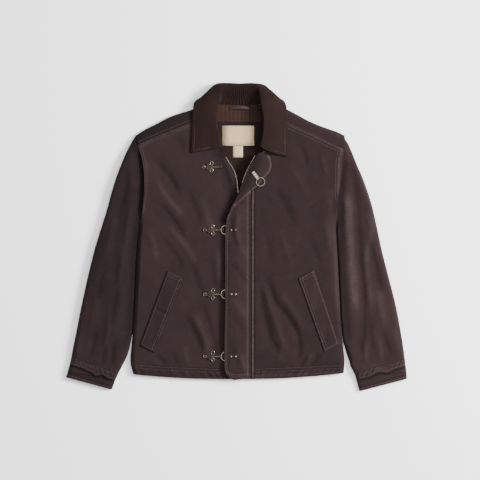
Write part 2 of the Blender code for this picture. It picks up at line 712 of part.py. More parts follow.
def hook(number, y, tail_x, tree, metal, brass):
    """A clasp's hook: its lobed plate, the shank with an upturned end, and the bar across it."""
    outline = arc((0, 0), 4.6, 50, 310, 7) + arc((20, -9.5), 4.2, 195, 410, 6)
    outline += [(26.5, -3.2), (26.5, 3.2)] + arc((20, 9.5), 4.2, -50, 165, 6)
    count = len(outline)
    points = [(*p, HOOK_THICK) for p in outline] + [(*p, 0.0) for p in outline]
    faces = [tuple(range(count)), tuple(range(2 * count - 1, count - 1, -1))]
    faces += [(k, count + k, count + (k + 1) % count, (k + 1) % count) for k in range(count)]
    plate = add_solid(f"clasp_hook_{number}", points, faces, metal)
    mid = HOOK_THICK / 2
    path = [(18.0, mid + 0.2), (28.0, mid + 0.2), (36.0, mid), (HOOK_REACH, mid)]
    path += [(x, z) for x, z in arc((HOOK_REACH, mid + HOOK_CURL), HOOK_CURL, -60, 90, 6)]
    path += [(HOOK_REACH - 3.0, mid + 2 * HOOK_CURL + 0.3)]
    shank = strip(f"shank_{number}", path, HOOK_WIDE, HOOK_THICK, metal)
    shank.hide_render = True
    shank.display_type = "WIRE"
    joined = plate.modifiers.new("shank", "BOOLEAN")
    joined.operation = "UNION"
    joined.solver = "EXACT"
    joined.object = shank
    floor = max(resting(tree, tail_x + along, y, reach=9.0) for along in (0, 20, 40)) + SEAM_GAP
    for thing in (plate, shank):
        place(thing, (tail_x, y, floor))
    rod = round_bar(f"clasp_bar_{number}", BAR_RADIUS, 17.0, brass)
    place(rod, (tail_x + 10.5, y, floor + HOOK_THICK + SEAM_GAP + BAR_RADIUS))


def round_bar(name, radius, long, material, sides=10):
    """A short rod along y."""
    points, faces = [], []
    for end in (-long / 2, long / 2):
        points += [(x, end, z) for x, z in arc((0, 0), radius, 0, 360 * (sides - 1) / sides, sides)]
    faces = [tuple(range(sides)), tuple(range(2 * sides - 1, sides - 1, -1))]
    faces += [(k, sides + k, sides + (k + 1) % sides, (k + 1) % sides) for k in range(sides)]
    return add_solid(name, points, faces, material)


def ring_loop(count=18, sides=6):
    """A D-ring with its straight bar on the y axis and its bow towards +X."""
    points, faces = [], []
    for k in range(count):
        a = 2 * math.pi * k / count
        flat = 3.0 if math.cos(a) < 0 else 2.0
        size = (abs(math.cos(a)) ** flat + abs(math.sin(a)) ** flat) ** (-1 / flat)
        x, y = size * math.cos(a) * RING_LONG, size * math.sin(a) * RING_HALF
        out = np.array([x / RING_LONG**2, y / RING_HALF**2])
        out /= np.linalg.norm(out)
        for m in range(sides):
            b = 2 * math.pi * m / sides
            off = RING_WIRE * math.cos(b)
            points.append((RING_LONG + x + out[0] * off, y + out[1] * off, RING_WIRE * math.sin(b)))
            near, ahead = k * sides + m, (k + 1) % count * sides + m
            step = (m + 1) % sides
            faces.append((near, ahead, (k + 1) % count * sides + step, k * sides + step))
    return points, faces


def ring_and_plate(number, at, turn, metal):
    """A clasp's ring in its plate; the plate lies on the flap's inner side and curls round the ring."""
    plate = [(0.0, PLATE_THICK / 2 + SEAM_GAP), (11.0, PLATE_THICK / 2 + SEAM_GAP)]
    middle = (RING_PLATE, PLATE_THICK / 2 + SEAM_GAP + CURL)
    plate += [(x, z) for x, z in arc(middle, CURL, -90, 160, 12)]
    thing = strip(f"ring_plate_{number}", plate, PLATE_WIDE, PLATE_THICK, metal)
    place(thing, at, turn)
    points, faces = ring_loop()
    ring = add_solid(f"clasp_ring_{number}", points, faces, metal)
    place(ring, at, turn)
    ring.location = thing.matrix_world @ (Vector((middle[0], 0, middle[1])) * MM)
    bpy.context.view_layer.update()
    return ring


def rivet(name, x, y, tree, metal):
    """A rivet's domed head on the flap."""
    sides, points, faces = 9, [], []
    rings = [(RIVET_RADIUS, 0.0), (RIVET_RADIUS, 0.4), (RIVET_RADIUS * 0.8, 1.0), (RIVET_RADIUS * 0.4, 1.35)]
    for radius, z in rings:
        points += [(px, py, z) for px, py in arc((0, 0), radius, 0, 360 * (sides - 1) / sides, sides)]
    faces = [tuple(range(sides)), tuple(range(4 * sides - 1, 3 * sides - 1, -1))]
    for i in range(3):
        for k in range(sides):
            a, b = i * sides + k, i * sides + (k + 1) % sides
            faces.append((a, b, b + sides, a + sides))
    floor = resting(tree, x, y, reach=RIVET_RADIUS) + SEAM_GAP
    return place(add_solid(name, points, faces, metal), (x, y, floor))


def slider(metal):
    """The zip's slider and its pull, on the closed end of the chain under the flap."""
    y = 92.0
    floor = level(y) - CANVAS - 2 * LAY_GAP + SEAM_GAP + CHAIN_HIGH + SEAM_GAP
    path = [(6.7, y - 26, floor), (6.7, y - 12, floor), (6.7, y, floor), (6.7, y + 7, floor)]
    rows = np.array(path, float)
    half = np.array([2.2, 2.2, 4.2, 3.4])
    side = np.stack([half, np.zeros(4), np.zeros(4)], axis=1)
    low = np.stack([rows - side, rows + side], axis=1)
    high = np.array([1.2, 1.2, 1.8, 1.6])
    top = low.copy()
    top[:, :, 2] += high[:, None]
    return slab("zip_slider", top, low, metal)


def main():
    """Builds the jacket from the floor up."""
    clear_scene()
    canvas = finish("canvas", (0.065, 0.045, 0.045), 0.9)
    seam_cloth = finish("canvas_worn", (0.085, 0.06, 0.055), 0.9)
    corduroy = finish("corduroy", (0.035, 0.02, 0.015), 0.95)
    plaid = finish("plaid", (0.06, 0.035, 0.022), 0.9)
    quilt = finish("quilted_lining", (0.022, 0.012, 0.008), 0.8)
    twill = finish("twill", (0.02, 0.014, 0.012), 0.85)
    tape = finish("zip_tape", (0.03, 0.02, 0.02), 0.85)
    woven = finish("label_cloth", (0.55, 0.45, 0.36), 0.8)
    steel = finish("antique_metal", (0.45, 0.43, 0.4), 0.35, 1.0)
    brass = finish("brass", (0.45, 0.3, 0.14), 0.35, 1.0)

    back_panel(canvas)
    left = front("front_left", LEFT_SIDE, LEFT_CENTRE, canvas)
    right = front("front_right", RIGHT_SIDE, RIGHT_CENTRE, canvas)
    yokes = [yoke("yoke_left", LEFT_YOKE, LEFT_SHOULDER, LEFT_BACK_SEAM, canvas),
             yoke("yoke_right", RIGHT_YOKE, RIGHT_SHOULDER, RIGHT_BACK_SEAM, canvas)]
    sleeve("left", LEFT_SLEEVE, armhole(LEFT_SIDE, LEFT_SHOULDER[-1]), canvas)
    sleeve("right", RIGHT_SLEEVE, armhole(RIGHT_SIDE, RIGHT_SHOULDER[-1]), canvas)

    inside_piece("back_lining", -228, 232, -336, LINING_TOP, quilt, columns=5, rows=6)
    inside_piece("neck_facing", -170, 190, LINING_TOP + LAY_GAP, FACING_TOP, twill, columns=9)
    inside_piece("inner_yoke", -92, 110, FACING_TOP + LAY_GAP, 330, plaid, columns=9)
    inside_piece("neck_label", *LABEL, woven, thick=0.8, floor=4.2)
    inside_piece("size_tag", *SIZE_TAG, woven, thick=0.6, floor=4.2)
    hanger_loop(seam_cloth)

    body = tree_of([left, right] + yokes)
    collar(body, corduroy)
    pocket("pocket_welt_left", LEFT_POCKET, body, seam_cloth)
    pocket("pocket_welt_right", RIGHT_POCKET, body, seam_cloth)
    zip_side("left", LEFT_TEETH, 1.0, tape, steel)
    zip_side("right", RIGHT_TEETH, -1.0, tape, steel)
    slider(steel)
    ridge = [(*spline(SEAM_RIDGE, share), 0.0) for share in np.linspace(0, 1, 26)]
    ridge = [(x, y, resting(body, x, y, reach=4.0) + LAY_GAP) for x, y, _ in ridge]
    bar("flap_seam_welt", ridge, RIDGE_WIDE, RIDGE_HIGH, seam_cloth)
    storm = flap(body, canvas)

    cloth = tree_of([storm])
    for number, (y, tail_x) in enumerate(CLASPS, start=1):
        hook(number, y, tail_x, body, steel, brass)
        if number == 1:
            continue
        under = min(bottom_of(cloth, FLAP_PLATE_X - d, y + w) for d in (0, 11, 22, 28) for w in (-4, 4))
        ring_and_plate(number, (FLAP_PLATE_X, y, under), (0.0, 180.0, 0.0), steel)
        for k, along in enumerate(RIVETS, start=1):
            rivet(f"flap_rivet_{number}_{k}", FLAP_PLATE_X - along, y, cloth, steel)
    turn = math.radians(FREE_TURN)
    ends = [(FREE_PLATE[0] + d * math.cos(turn), FREE_PLATE[1] + d * math.sin(turn)) for d in (0.0, RING_PLATE)]
    heights = [resting(cloth, *end, reach=2.0) for end in ends]
    tilt = math.degrees(math.atan2(heights[0] - heights[1], RING_PLATE))
    ring_and_plate(1, (*ends[0], heights[0] + SEAM_GAP), (0.0, tilt, FREE_TURN), steel)


main()
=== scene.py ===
"""Dresses the canvas work jacket: cloth with creases and puckers, sewing, zip teeth and metal.

The CAD pieces come in as the frame, in metres. The jacket's lengths in this file are in millimetres, in
the same frame, and MM takes them to metres. The studio's are in metres.
"""
import logging
import math
from dataclasses import dataclass, field
from enum import Enum

import bmesh
import bpy
import numpy as np
from bmesh.types import BMesh
from bpy.types import Material, Mesh, Node, NodeSocket, NodeTree, Object
from mathutils import Matrix, Vector
from mathutils.bvhtree import BVHTree


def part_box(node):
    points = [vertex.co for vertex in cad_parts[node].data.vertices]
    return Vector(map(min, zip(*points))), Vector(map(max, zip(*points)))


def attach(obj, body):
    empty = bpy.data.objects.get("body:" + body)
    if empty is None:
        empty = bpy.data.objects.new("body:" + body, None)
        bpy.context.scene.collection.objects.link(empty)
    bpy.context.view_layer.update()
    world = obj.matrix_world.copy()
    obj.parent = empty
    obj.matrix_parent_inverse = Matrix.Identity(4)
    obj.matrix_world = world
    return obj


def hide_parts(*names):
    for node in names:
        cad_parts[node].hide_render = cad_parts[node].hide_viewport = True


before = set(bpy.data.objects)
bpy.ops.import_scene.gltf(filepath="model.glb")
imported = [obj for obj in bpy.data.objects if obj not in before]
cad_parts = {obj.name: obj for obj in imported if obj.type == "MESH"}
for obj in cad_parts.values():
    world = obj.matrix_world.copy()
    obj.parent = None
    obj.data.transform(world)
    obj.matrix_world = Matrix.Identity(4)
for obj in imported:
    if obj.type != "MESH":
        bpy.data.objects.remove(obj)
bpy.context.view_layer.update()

log = logging.getLogger("jacket")
MM = 0.001
TO_METRES = Matrix.Diagonal((MM, MM, MM, 1.0))
BODY = "jacket"
Array = np.ndarray
Point = tuple[float, float]
Triple = tuple[float, float, float]
Path = tuple[Point, ...]


class Slot(Enum):
    """The record's material slots."""

    CANVAS = "canvas"
    CANVAS_WORN = "canvas_worn"
    CORDUROY = "corduroy"
    PLAID = "plaid"
    LINING = "quilted_lining"
    TWILL = "twill"
    TAPE = "zip_tape"
    LABEL = "label_cloth"
    METAL = "antique_metal"
    BRASS = "brass"


def ease(share: Array | float) -> Array:
    """A step from 0 to 1 with level ends."""
    share = np.clip(share, 0.0, 1.0)
    return share * share * (3.0 - 2.0 * share)


def along_path(path: Path, x: Array, y: Array) -> tuple[Array, Array, float]:
    """Measures places against a path.

    Args:
        path: The corners of the path.
        x: Places across the jacket.
        y: Places up the jacket.

    Returns:
        How far along the path each place is, how far to its left, and the path's length.
    """
    best = np.full(x.shape, 1e9)
    along, off, start = np.zeros(x.shape), np.zeros(x.shape), 0.0
    for (x0, y0), (x1, y1) in zip(path, path[1:]):
        long = math.hypot(x1 - x0, y1 - y0)
        ux, uy = (x1 - x0) / long, (y1 - y0) / long
        s = (x - x0) * ux + (y - y0) * uy
        d = (y - y0) * ux - (x - x0) * uy
        beyond = np.maximum(np.maximum(-s, s - long), 0.0)
        far = np.hypot(d, beyond)
        near = far < best
        best = np.where(near, far, best)
        along = np.where(near, start + np.clip(s, 0.0, long), along)
        off = np.where(near, np.where(d < 0, -far, far), off)
        start += long
    return along, off, start


def shifted(path: Path, off: float) -> Path:
    """A path moved to its left by a distance."""
    points = np.array(path, float)
    run = np.gradient(points, axis=0)
    run /= np.linalg.norm(run, axis=1, keepdims=True)
    moved = points + np.stack([-run[:, 1], run[:, 0]], axis=1) * off
    return tuple((float(px), float(py)) for px, py in moved)


def read_points(mesh: Mesh) -> Array:
    """The places of a mesh's points, one row each."""
    places = np.empty(len(mesh.vertices) * 3, np.float32)
    mesh.vertices.foreach_get("co", places)
    return places.reshape(-1, 3).astype(float)


def write_points(mesh: Mesh, places: Array) -> None:
    """Moves a mesh's points to some places."""
    mesh.vertices.foreach_set("co", places.astype(np.float32).ravel())
    mesh.update()


def measured(path: Path | Array) -> tuple[Array, Array]:
    """The corners of a path, and how far along it each one is."""
    points = np.array(path, float)
    steps = np.linalg.norm(np.diff(points, axis=0), axis=1)
    return points, np.concatenate([[0.0], np.cumsum(steps)])


def place_along(points: Array, at: Array, run: float) -> Array:
    """The place that is some way along a measured path."""
    return np.array([np.interp(run, at, points[:, k]) for k in (0, 1)])


def placed(name: str, data: bpy.types.ID) -> Object:
    """A new object in the scene."""
    thing = bpy.data.objects.new(name, data)
    bpy.context.scene.collection.objects.link(thing)
    return thing


def as_mesh(name: str, shape: BMesh, finish: Material | None = None) -> Mesh:
    """Turns a finished shape into a mesh, with its finish if it has one."""
    mesh = bpy.data.meshes.new(name)
    shape.to_mesh(mesh)
    shape.free()
    if finish:
        mesh.materials.append(finish)
    return mesh


def as_piece(mesh: Mesh, smooth: bool = True) -> Object:
    """Makes a mesh a piece of the jacket's body, with its own name.

    Args:
        mesh: The finished mesh.
        smooth: Whether its faces are shaded as one surface.

    Returns:
        The piece.
    """
    if smooth:
        mesh.shade_smooth()
    piece = placed(mesh.name, mesh)
    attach(piece, BODY)
    return piece


def divided(mesh: Mesh, level: int, smooth: bool = True) -> Mesh:
    """Subdivides a mesh.

    Args:
        mesh: The mesh, which stays as it is.
        level: How many times each face is split.
        smooth: Whether the copy is rounded, or keeps the mesh's flat faces.

    Returns:
        A finer copy that keeps the mesh's own points first.
    """
    holder = placed(mesh.name + "_holder", mesh)
    finer = holder.modifiers.new("finer", "SUBSURF")
    finer.levels = finer.render_levels = level
    finer.subdivision_type = "CATMULL_CLARK" if smooth else "SIMPLE"
    ready = holder.evaluated_get(bpy.context.evaluated_depsgraph_get())
    result = bpy.data.meshes.new_from_object(ready)
    bpy.data.objects.remove(holder)
    return result


@dataclass(frozen=True)
class Fold:
    """One soft fold with faded ends. A trough has a height below 0, and bow bends it to its left."""

    path: Path
    half: float
    high: float
    ends: float = 40.0
    bow: float = 0.0

    def lift(self, x: Array, y: Array) -> Array:
        """How far the fold lifts the cloth at some places."""
        along, off, long = along_path(self.path, x, y)
        off = off - self.bow * 4 * along * (long - along) / long ** 2
        fade = ease(along / self.ends) * ease((long - along) / self.ends)
        return self.high * fade * np.exp(-((off / self.half) ** 2))


def folds(*rows: tuple) -> tuple[Fold, ...]:
    """Makes soft folds from rows of their values.

    Args:
        rows: A fold's own values, or for a straight one the x and y of its two ends, half its width,
            its height and perhaps its bow; it fades over 0.3 of its length.

    Returns:
        The folds.
    """
    made = []
    for row in rows:
        if not isinstance(row[0], tuple):
            x0, y0, x1, y1, half, high, *bow = row
            row = (((x0, y0), (x1, y1)), half, high, 0.3 * math.hypot(x1 - x0, y1 - y0), *bow)
        made.append(Fold(*row))
    return tuple(made)


@dataclass(frozen=True)
class Puckers:
    """Small waves that a sewn line draws up across itself, and the groove of its stitches."""

    path: Path
    pitch: float
    reach: float
    high: float
    groove: float = 0.0
    lean: float = 0.0
    off: float = 0.0

    def lift(self, x: Array, y: Array) -> Array:
        """How far the puckers lift the cloth at some places."""
        along, off, long = along_path(self.path, x, y)
        off = off - self.off
        run = along + self.lean * off
        phase = 2 * math.pi * run / self.pitch + 1.6 * np.sin(run / 31.0) + 0.8 * np.sin(run / 11.3 + 1.0)
        size = 0.7 + 0.3 * np.sin(run / 17.0 + 2.0)
        ends = ease(along / 8.0) * ease((long - along) / 8.0)
        wave = self.high * size * np.sin(phase) * np.exp(-((off / self.reach) ** 2))
        return ends * (wave - self.groove * np.exp(-((off / 1.8) ** 2)))


@dataclass(frozen=True)
class Step:
    """A fold's edge: the cloth stands up on the path's left and drops away on its right."""

    path: Path
    high: float
    drop: float
    reach: float

    def lift(self, x: Array, y: Array) -> Array:
        """How far the fold's edge lifts the cloth at some places."""
        along, off, long = along_path(self.path, x, y)
        side = ease(off / 3.0 + 0.5)
        fall = np.exp(-((off / self.reach) ** 2))
        ends = ease(along / 6.0) * ease((long - along) / 6.0)
        return ends * fall * (side * self.high - (1 - side) * self.drop)


@dataclass(frozen=True)
class WearAndShadeLine:
    """A line of colour along a path. A share above 0 makes the cloth paler, for rubbed-off dye on some
    lines and a painted highlight on others; a share below 0 makes it darker, as painted shade.
    """

    path: Path
    reach: float
    share: float

    def wear_and_shade(self, x: Array, y: Array) -> Array:
        """How far the line makes the cloth paler (above 0) or darker with painted shade (below 0) at some
        places.
        """
        off = along_path(self.path, x, y)[1]
        return self.share * np.exp(-((off / self.reach) ** 2))


def rubbed(*rows: tuple[Path, float, float]) -> tuple[WearAndShadeLine, ...]:
    """Lines of rubbed wear, painted highlights and painted shade, from rows of their values."""
    return tuple(WearAndShadeLine(*row) for row in rows)


@dataclass(frozen=True)
class Tuck:
    """An edge that is drawn towards its neighbour, so that no light shows between them."""

    path: Path
    reach: float
    way: Point

    def shift(self, x: Array, y: Array) -> Array:
        """How far the cloth is drawn at some places, across and up."""
        off = along_path(self.path, x, y)[1]
        return np.exp(-((off / self.reach) ** 4))[:, None] * np.array(self.way)


class Seams:
    """Where the jacket is sewn, in millimetres, as the photograph shows it."""

    YOKE_LEFT = ((-72, 299), (-131, 275), (-190, 251), (-240, 229))
    YOKE_RIGHT = ((92, 299), (138, 277), (190, 254), (252, 224))
    ARM_LEFT = ((-236, 222), (-226, 190), (-222, 150), (-224, 110), (-230, 70), (-238, 34))
    ARM_RIGHT = ((254, 224), (248, 190), (246, 150), (246, 118), (247, 92))
    HEM_LEFT = ((-252, -319), (-190, -324), (-110, -328), (-34, -331))
    HEM_RIGHT = ((45, -330), (120, -327), (190, -324), (260, -320))
    HEM_FLAP = ((-23, -340), (-8, -347), (15, -347), (34, -343))
    CUFF_LEFT = ((-411, -302), (-372, -316), (-335, -328), (-298, -341))
    CUFF_RIGHT = ((420, -306), (385, -317), (345, -328), (303, -342))
    TURN_LEFT = ((-414, -318), (-388, -326), (-366, -336), (-352, -346), (-336, -342), (-322, -352),
                 (-303, -358))
    TURN_RIGHT = ((419, -321), (396, -328), (374, -338), (352, -336), (332, -348), (302, -354))
    END_LEFT = ((-421, -344), (-384, -355), (-350, -366), (-312, -376))
    END_RIGHT = ((423, -349), (385, -360), (345, -370), (309, -379))
    FLAP_EDGE = ((-25, 34), (-27, 0), (-28, -90), (-29, -180), (-30, -260), (-29, -322), (-25, -340))
    FLAP_SEAM = ((30, 116), (29, 60), (29, -60), (29, -200), (29, -345))
    POCKET_LEFT = ((-171, -85), (-132, -103), (-205, -288), (-240, -270))
    POCKET_RIGHT = ((192, -82.5), (155, -103), (220, -286), (254, -267))
    SIDE_LEFT = ((-248, 226), (-238, 190), (-235, 140), (-239, 90), (-249, 20), (-256, -60),
                 (-263, -140), (-268, -220), (-272, -262))
    SIDE_RIGHT = ((271, 200), (262, 150), (256, 90), (257, 20), (260, -60), (266, -140), (272, -220),
                  (278, -270))


FRONT_CREASES = folds(
    (-214, 196, -140, 96, 8, -2.6, 8), (-208, 152, -124, 44, 7, 2.0, -6), (-204, 96, -122, -20, 7, -2.4, 6),
    (-186, 40, -96, -76, 8, 1.9, 7), (-196, 10, -130, -90, 7, -1.8, 5), (-96, 110, -62, 0, 10, 1.5, 5),
    (-126, 120, -92, 20, 9, -1.4, 5), (-112, -60, -82, -150, 9, -1.7, -4), (-150, 262, -134, 206, 9, -1.4),
    (-100, 270, -90, 222, 8, 1.3), (-48, -30, -44, -120, 8, 1.4), (-222, 30, -200, -70, 9, 1.7, 4),
    (((-132, -186), (-112, -226), (-92, -268), (-86, -300)), 8, -2.6),
    (((-112, -180), (-92, -222), (-76, -262), (-70, -306)), 8, 2.1),
    (((-92, -156), (-70, -214), (-58, -260), (-54, -312)), 8, -1.9),
    (((-204, -292), (-190, -306), (-176, -320)), 6, -1.7, 12), (-160, -286, -148, -322, 7, -1.8),
    (-132, -262, -122, -322, 7, 1.5), (-66, -40, -56, -140, 10, -1.2),
    (((58, -120), (64, -176), (84, -257), (117, -302)), 9, -3.2),
    (((74, -96), (94, -163), (124, -198), (141, -221), (153, -249), (155, -284), (149, -322)), 8, -3.4),
    (((96, -120), (122, -160), (152, -200), (172, -246)), 10, 2.0),
    (((66, -110), (90, -190), (110, -250), (136, -300)), 9, 2.2),
    (((174, -296), (166, -312), (152, -326)), 6, -2.2, 12),
    (((190, -286), (180, -304), (166, -324)), 6, 1.9, 12),
    (((206, -290), (192, -310), (180, -326)), 6, -1.8, 12), (112, -262, 100, -322, 8, 1.6, 3),
    (150, 240, 176, 170, 8, -1.9, 4), (210, 220, 230, 146, 8, 1.7, -4), (122, 190, 182, 84, 10, 1.6, 6),
    (88, 130, 150, 10, 10, -1.7, 6), (212, 60, 232, -44, 9, 1.6, 4), (176, 0, 206, -80, 9, -1.5, 5),
    (98, 30, 136, -80, 9, 1.6, 5), (62, 40, 84, -70, 10, -1.5, 5), (240, 120, 244, 0, 8, -1.4),
)
SLEEVE_LEFT_CREASES = folds(
    (Seams.SIDE_LEFT, 13, -6.5, 30), (-274, 180, -290, 60, 8, -1.8, 4), (-258, 90, -276, -30, 7, 1.6, -4),
    (-304, 70, -330, -50, 9, 1.6, 5), (-284, -20, -300, -130, 7, 1.6, 4),
    (-322, -60, -348, -170, 9, -2.0, -5), (-300, -110, -318, -230, 8, -1.9, 4),
    (-350, -130, -368, -250, 9, 1.8, 4), (-318, -190, -334, -296, 7, 1.8, 4),
    (-304, -250, -312, -326, 6, -1.9, -2), (-352, -226, -370, -304, 7, -1.7, 3),
    (-390, -230, -402, -300, 7, 1.3, 2), (-326, -258, -342, -322, 6, -1.6, 2),
)
SLEEVE_RIGHT_CREASES = folds(
    (Seams.SIDE_RIGHT, 8, -3.0, 30),
    (((287, 178), (297, 78), (303, -22), (315, -121), (315, -241), (307, -300)), 10, -2.9),
    (((272, 120), (276, 20), (284, -90), (292, -190)), 9, 2.0),
    (((322, 80), (337, 26), (319, -62), (326, -121), (338, -190)), 10, 2.2),
    (((326, 10), (335, -30), (350, -94), (360, -150)), 9, -2.4), (352, -120, 372, -230, 9, 1.8, -4),
    (334, -200, 342, -296, 7, -1.8, -4), (316, -250, 322, -322, 6, 1.6, 2),
    (366, -232, 386, -300, 7, -1.6, -3), (352, -250, 360, -316, 6, 1.5, 2),
    (394, -226, 406, -296, 7, 1.3, -2),
)
FRONT_PUCKERS = tuple(Puckers(*row) for row in (
    (Seams.YOKE_LEFT, 9, 7, 0.7, 0.5, 0.5, -5), (Seams.YOKE_RIGHT, 9, 7, 0.8, 0.5, -0.5, -5),
    (Seams.ARM_LEFT, 9.5, 6, 0.8, 0.5), (Seams.ARM_RIGHT, 9.5, 7, 0.9, 0.5, 0.4, 3),
    (Seams.HEM_LEFT, 23, 7, 1, 0, 0.7, -14), (Seams.HEM_LEFT, 8, 4.5, 0.5, 0.8),
    (Seams.HEM_RIGHT, 17, 7, 1.2, 0, -0.9, -14), (Seams.HEM_RIGHT, 8, 4.5, 0.6, 0.9),
    (shifted(Seams.HEM_LEFT, -7), 9, 4, 0.5, 0.8), (shifted(Seams.HEM_RIGHT, -7), 9, 4, 0.6, 0.9),
))
# Rubbed wear, painted highlights and painted shade on the fronts: the yoke seams and the left armhole are
# rubbed; the band inside the right armhole and the strip at 236 to 255 across are painted highlights; the
# dark lines on the hem's stitch rows, beside the flap's seam welt at 44.4 and left of the zip's upper end
# are painted shade; the lines 17 below the hem make it darker on the left and paler on the right.
FRONT_WEAR_AND_SHADE = rubbed(
    (shifted(Seams.YOKE_LEFT, 2), 4, 0.2), (shifted(Seams.YOKE_RIGHT, 2), 4, 0.3),
    (Seams.ARM_LEFT, 6, 0.12), (shifted(Seams.ARM_RIGHT, 9), 6, 0.4),
    (shifted(Seams.HEM_LEFT, -17), 6, -0.12), (shifted(Seams.HEM_RIGHT, -17), 6, 0.2),
    (Seams.HEM_LEFT, 1.6, -0.3), (Seams.HEM_RIGHT, 1.6, -0.3),
    (shifted(Seams.HEM_LEFT, -7), 1.6, -0.3), (shifted(Seams.HEM_RIGHT, -7), 1.6, -0.3),
    (((44.4, -352), (44.4, 0), (44.4, 116)), 1.7, -0.7),
    (((236, 110), (241, 20), (247, -70), (255, -170)), 14, 0.2),
    (((-40, 208), (-24, 170), (-13, 130), (-10, 95), (-14, 68), (-30, 40)), 10, -0.5),
)


class Surface:
    """The tops of some pieces, for laying others on them."""

    def __init__(self, things: list[Object]) -> None:
        """Collects the faces of the pieces, in millimetres."""
        points: list[Vector] = []
        faces: list[tuple[int, ...]] = []
        for thing in things:
            start = len(points)
            points += [(thing.matrix_world @ v.co) / MM for v in thing.data.vertices]
            faces += [tuple(start + k for k in p.vertices) for p in thing.data.polygons]
        self.tree = BVHTree.FromPolygons(points, faces)

    def top(self, x: float, y: float, otherwise: float = 0.0) -> float:
        """The height of the highest surface at a place."""
        hit = self.tree.ray_cast(Vector((x, y, 200.0)), Vector((0, 0, -1)))[0]
        return hit.z if hit else otherwise


class Graph:
    """Adds shader nodes to a tree in few words."""

    def __init__(self, tree: NodeTree) -> None:
        """Keeps the tree."""
        self.tree = tree

    def add(self, kind: str, feeds: dict | None = None, **settings: object) -> Node:
        """Adds a node.

        Args:
            kind: The node's type, without its prefix.
            feeds: Values or sockets for its inputs, by name or number.
            settings: Values for its own properties.

        Returns:
            The node.
        """
        node = self.tree.nodes.new("ShaderNode" + kind)
        for name, value in settings.items():
            setattr(node, name, value)
        self.feed(node, feeds or {})
        return node

    def feed(self, node: Node, feeds: dict) -> None:
        """Gives a node's inputs, by name or number, their values or sockets."""
        for name, value in feeds.items():
            if isinstance(value, NodeSocket):
                self.tree.links.new(value, node.inputs[name])
            else:
                node.inputs[name].default_value = value

    def maths(self, operation: str, *values: object) -> NodeSocket:
        """A Math node on some values or sockets."""
        return self.add("Math", dict(enumerate(values)), operation=operation).outputs[0]

    def mix(self, share: object, first: object, second: object, blend: str = "MIX") -> NodeSocket:
        """A colour mix by a share."""
        node = self.add("Mix", {0: share, 6: first, 7: second}, data_type="RGBA", blend_type=blend)
        return node.outputs[2]

    def spread(self, value: object, low: float, high: float, to_low: float, to_high: float) -> object:
        """Takes a value from one range to another."""
        feeds = {0: value, 1: low, 2: high, 3: to_low, 4: to_high}
        return self.add("MapRange", feeds).outputs[0]


class Effects:
    """The node groups that more than one cloth uses."""

    def __init__(self) -> None:
        """Builds the groups once."""
        self.tone = self._tone()
        self.weave = self._weave()

    @staticmethod
    def _group(name: str, inputs: dict[str, str], outputs: dict[str, str]) -> tuple[object, object, object]:
        """A new group with its sockets, and its input and output nodes."""
        tree = bpy.data.node_groups.new(name, "ShaderNodeTree")
        for label, kind in inputs.items():
            tree.interface.new_socket(label, in_out="INPUT", socket_type="NodeSocket" + kind)
        for label, kind in outputs.items():
            tree.interface.new_socket(label, in_out="OUTPUT", socket_type="NodeSocket" + kind)
        return tree, tree.nodes.new("NodeGroupInput"), tree.nodes.new("NodeGroupOutput")

    def _tone(self) -> NodeTree:
        """Washed, uneven colour that is paler where the cloth is rubbed or has a painted highlight, and
        darker where it has painted shade.
        """
        tree, given, out = self._group(
            "washed_tone", {"Cloth": "Color", "Worn": "Color", "WearAndShade": "Float", "Mottle": "Float"},
            {"Color": "Color", "Rough": "Float"})
        graph = Graph(tree)
        where = graph.add("TexCoord").outputs["Object"]
        cloud = graph.add("TexNoise", {"Vector": where, "Scale": 21.0, "Detail": 4.0, "Roughness": 0.6})
        grain = graph.add("TexNoise", {"Vector": where, "Scale": 620.0, "Detail": 2.0, "Roughness": 0.7})
        patch = graph.add("TexNoise", {"Vector": where, "Scale": 150.0, "Detail": 3.0, "Roughness": 0.7})
        broken = graph.spread(patch.outputs[0], 0.35, 0.65, 0.45, 1.35)
        # Wear above 0 turns the colour towards the worn colour: rubbed wear, and painted highlights on lit
        # edges and ridges.
        rubbed_and_highlit = graph.maths("MULTIPLY", graph.maths("MAXIMUM", given.outputs["WearAndShade"], 0.0), broken)
        colour = graph.mix(rubbed_and_highlit, given.outputs["Cloth"], given.outputs["Worn"])
        depth = graph.spread(cloud.outputs[0], 0.3, 0.7, -1.0, 1.0)
        shade = graph.maths("MULTIPLY_ADD", depth, given.outputs["Mottle"], 1.0)
        # Wear below 0 darkens the colour: painted shade in grooves, under folds and on parts away from the
        # light.
        painted_shade = graph.maths("ADD", graph.maths("MINIMUM", given.outputs["WearAndShade"], 0.0), 1.0)
        shade = graph.maths("MULTIPLY", shade, graph.maths("MAXIMUM", painted_shade, 0.15))
        fine = graph.spread(grain.outputs[0], 0.3, 0.7, 0.8, 1.2)
        shade = graph.maths("MULTIPLY", shade, fine)
        level = graph.add("CombineColor", {0: shade, 1: shade, 2: shade}).outputs[0]
        graph.feed(out, {"Color": graph.mix(1.0, colour, level, "MULTIPLY"),
                         "Rough": graph.spread(patch.outputs[0], 0.3, 0.7, 0.82, 0.96)})
        return tree

    def _weave(self) -> NodeTree:
        """The height of a plain weave of a given pitch, with slubs."""
        tree, given, out = self._group("plain_weave", {"Scale": "Float"}, {"Height": "Float"})
        graph = Graph(tree)
        where = graph.add("TexCoord").outputs["Object"]
        feeds = {"Vector": where, "Scale": given.outputs["Scale"], "Distortion": 0.6, "Detail": 1.0}
        warp = graph.add("TexWave", feeds, bands_direction="X")
        weft = graph.add("TexWave", feeds, bands_direction="Y")
        slub = graph.add("TexNoise", {"Vector": where, "Scale": 260.0, "Detail": 3.0})
        both = graph.maths("MAXIMUM", warp.outputs["Fac"], weft.outputs["Fac"])
        graph.feed(out, {"Height": graph.maths("MULTIPLY_ADD", slub.outputs[0], 0.8, both)})
        return tree


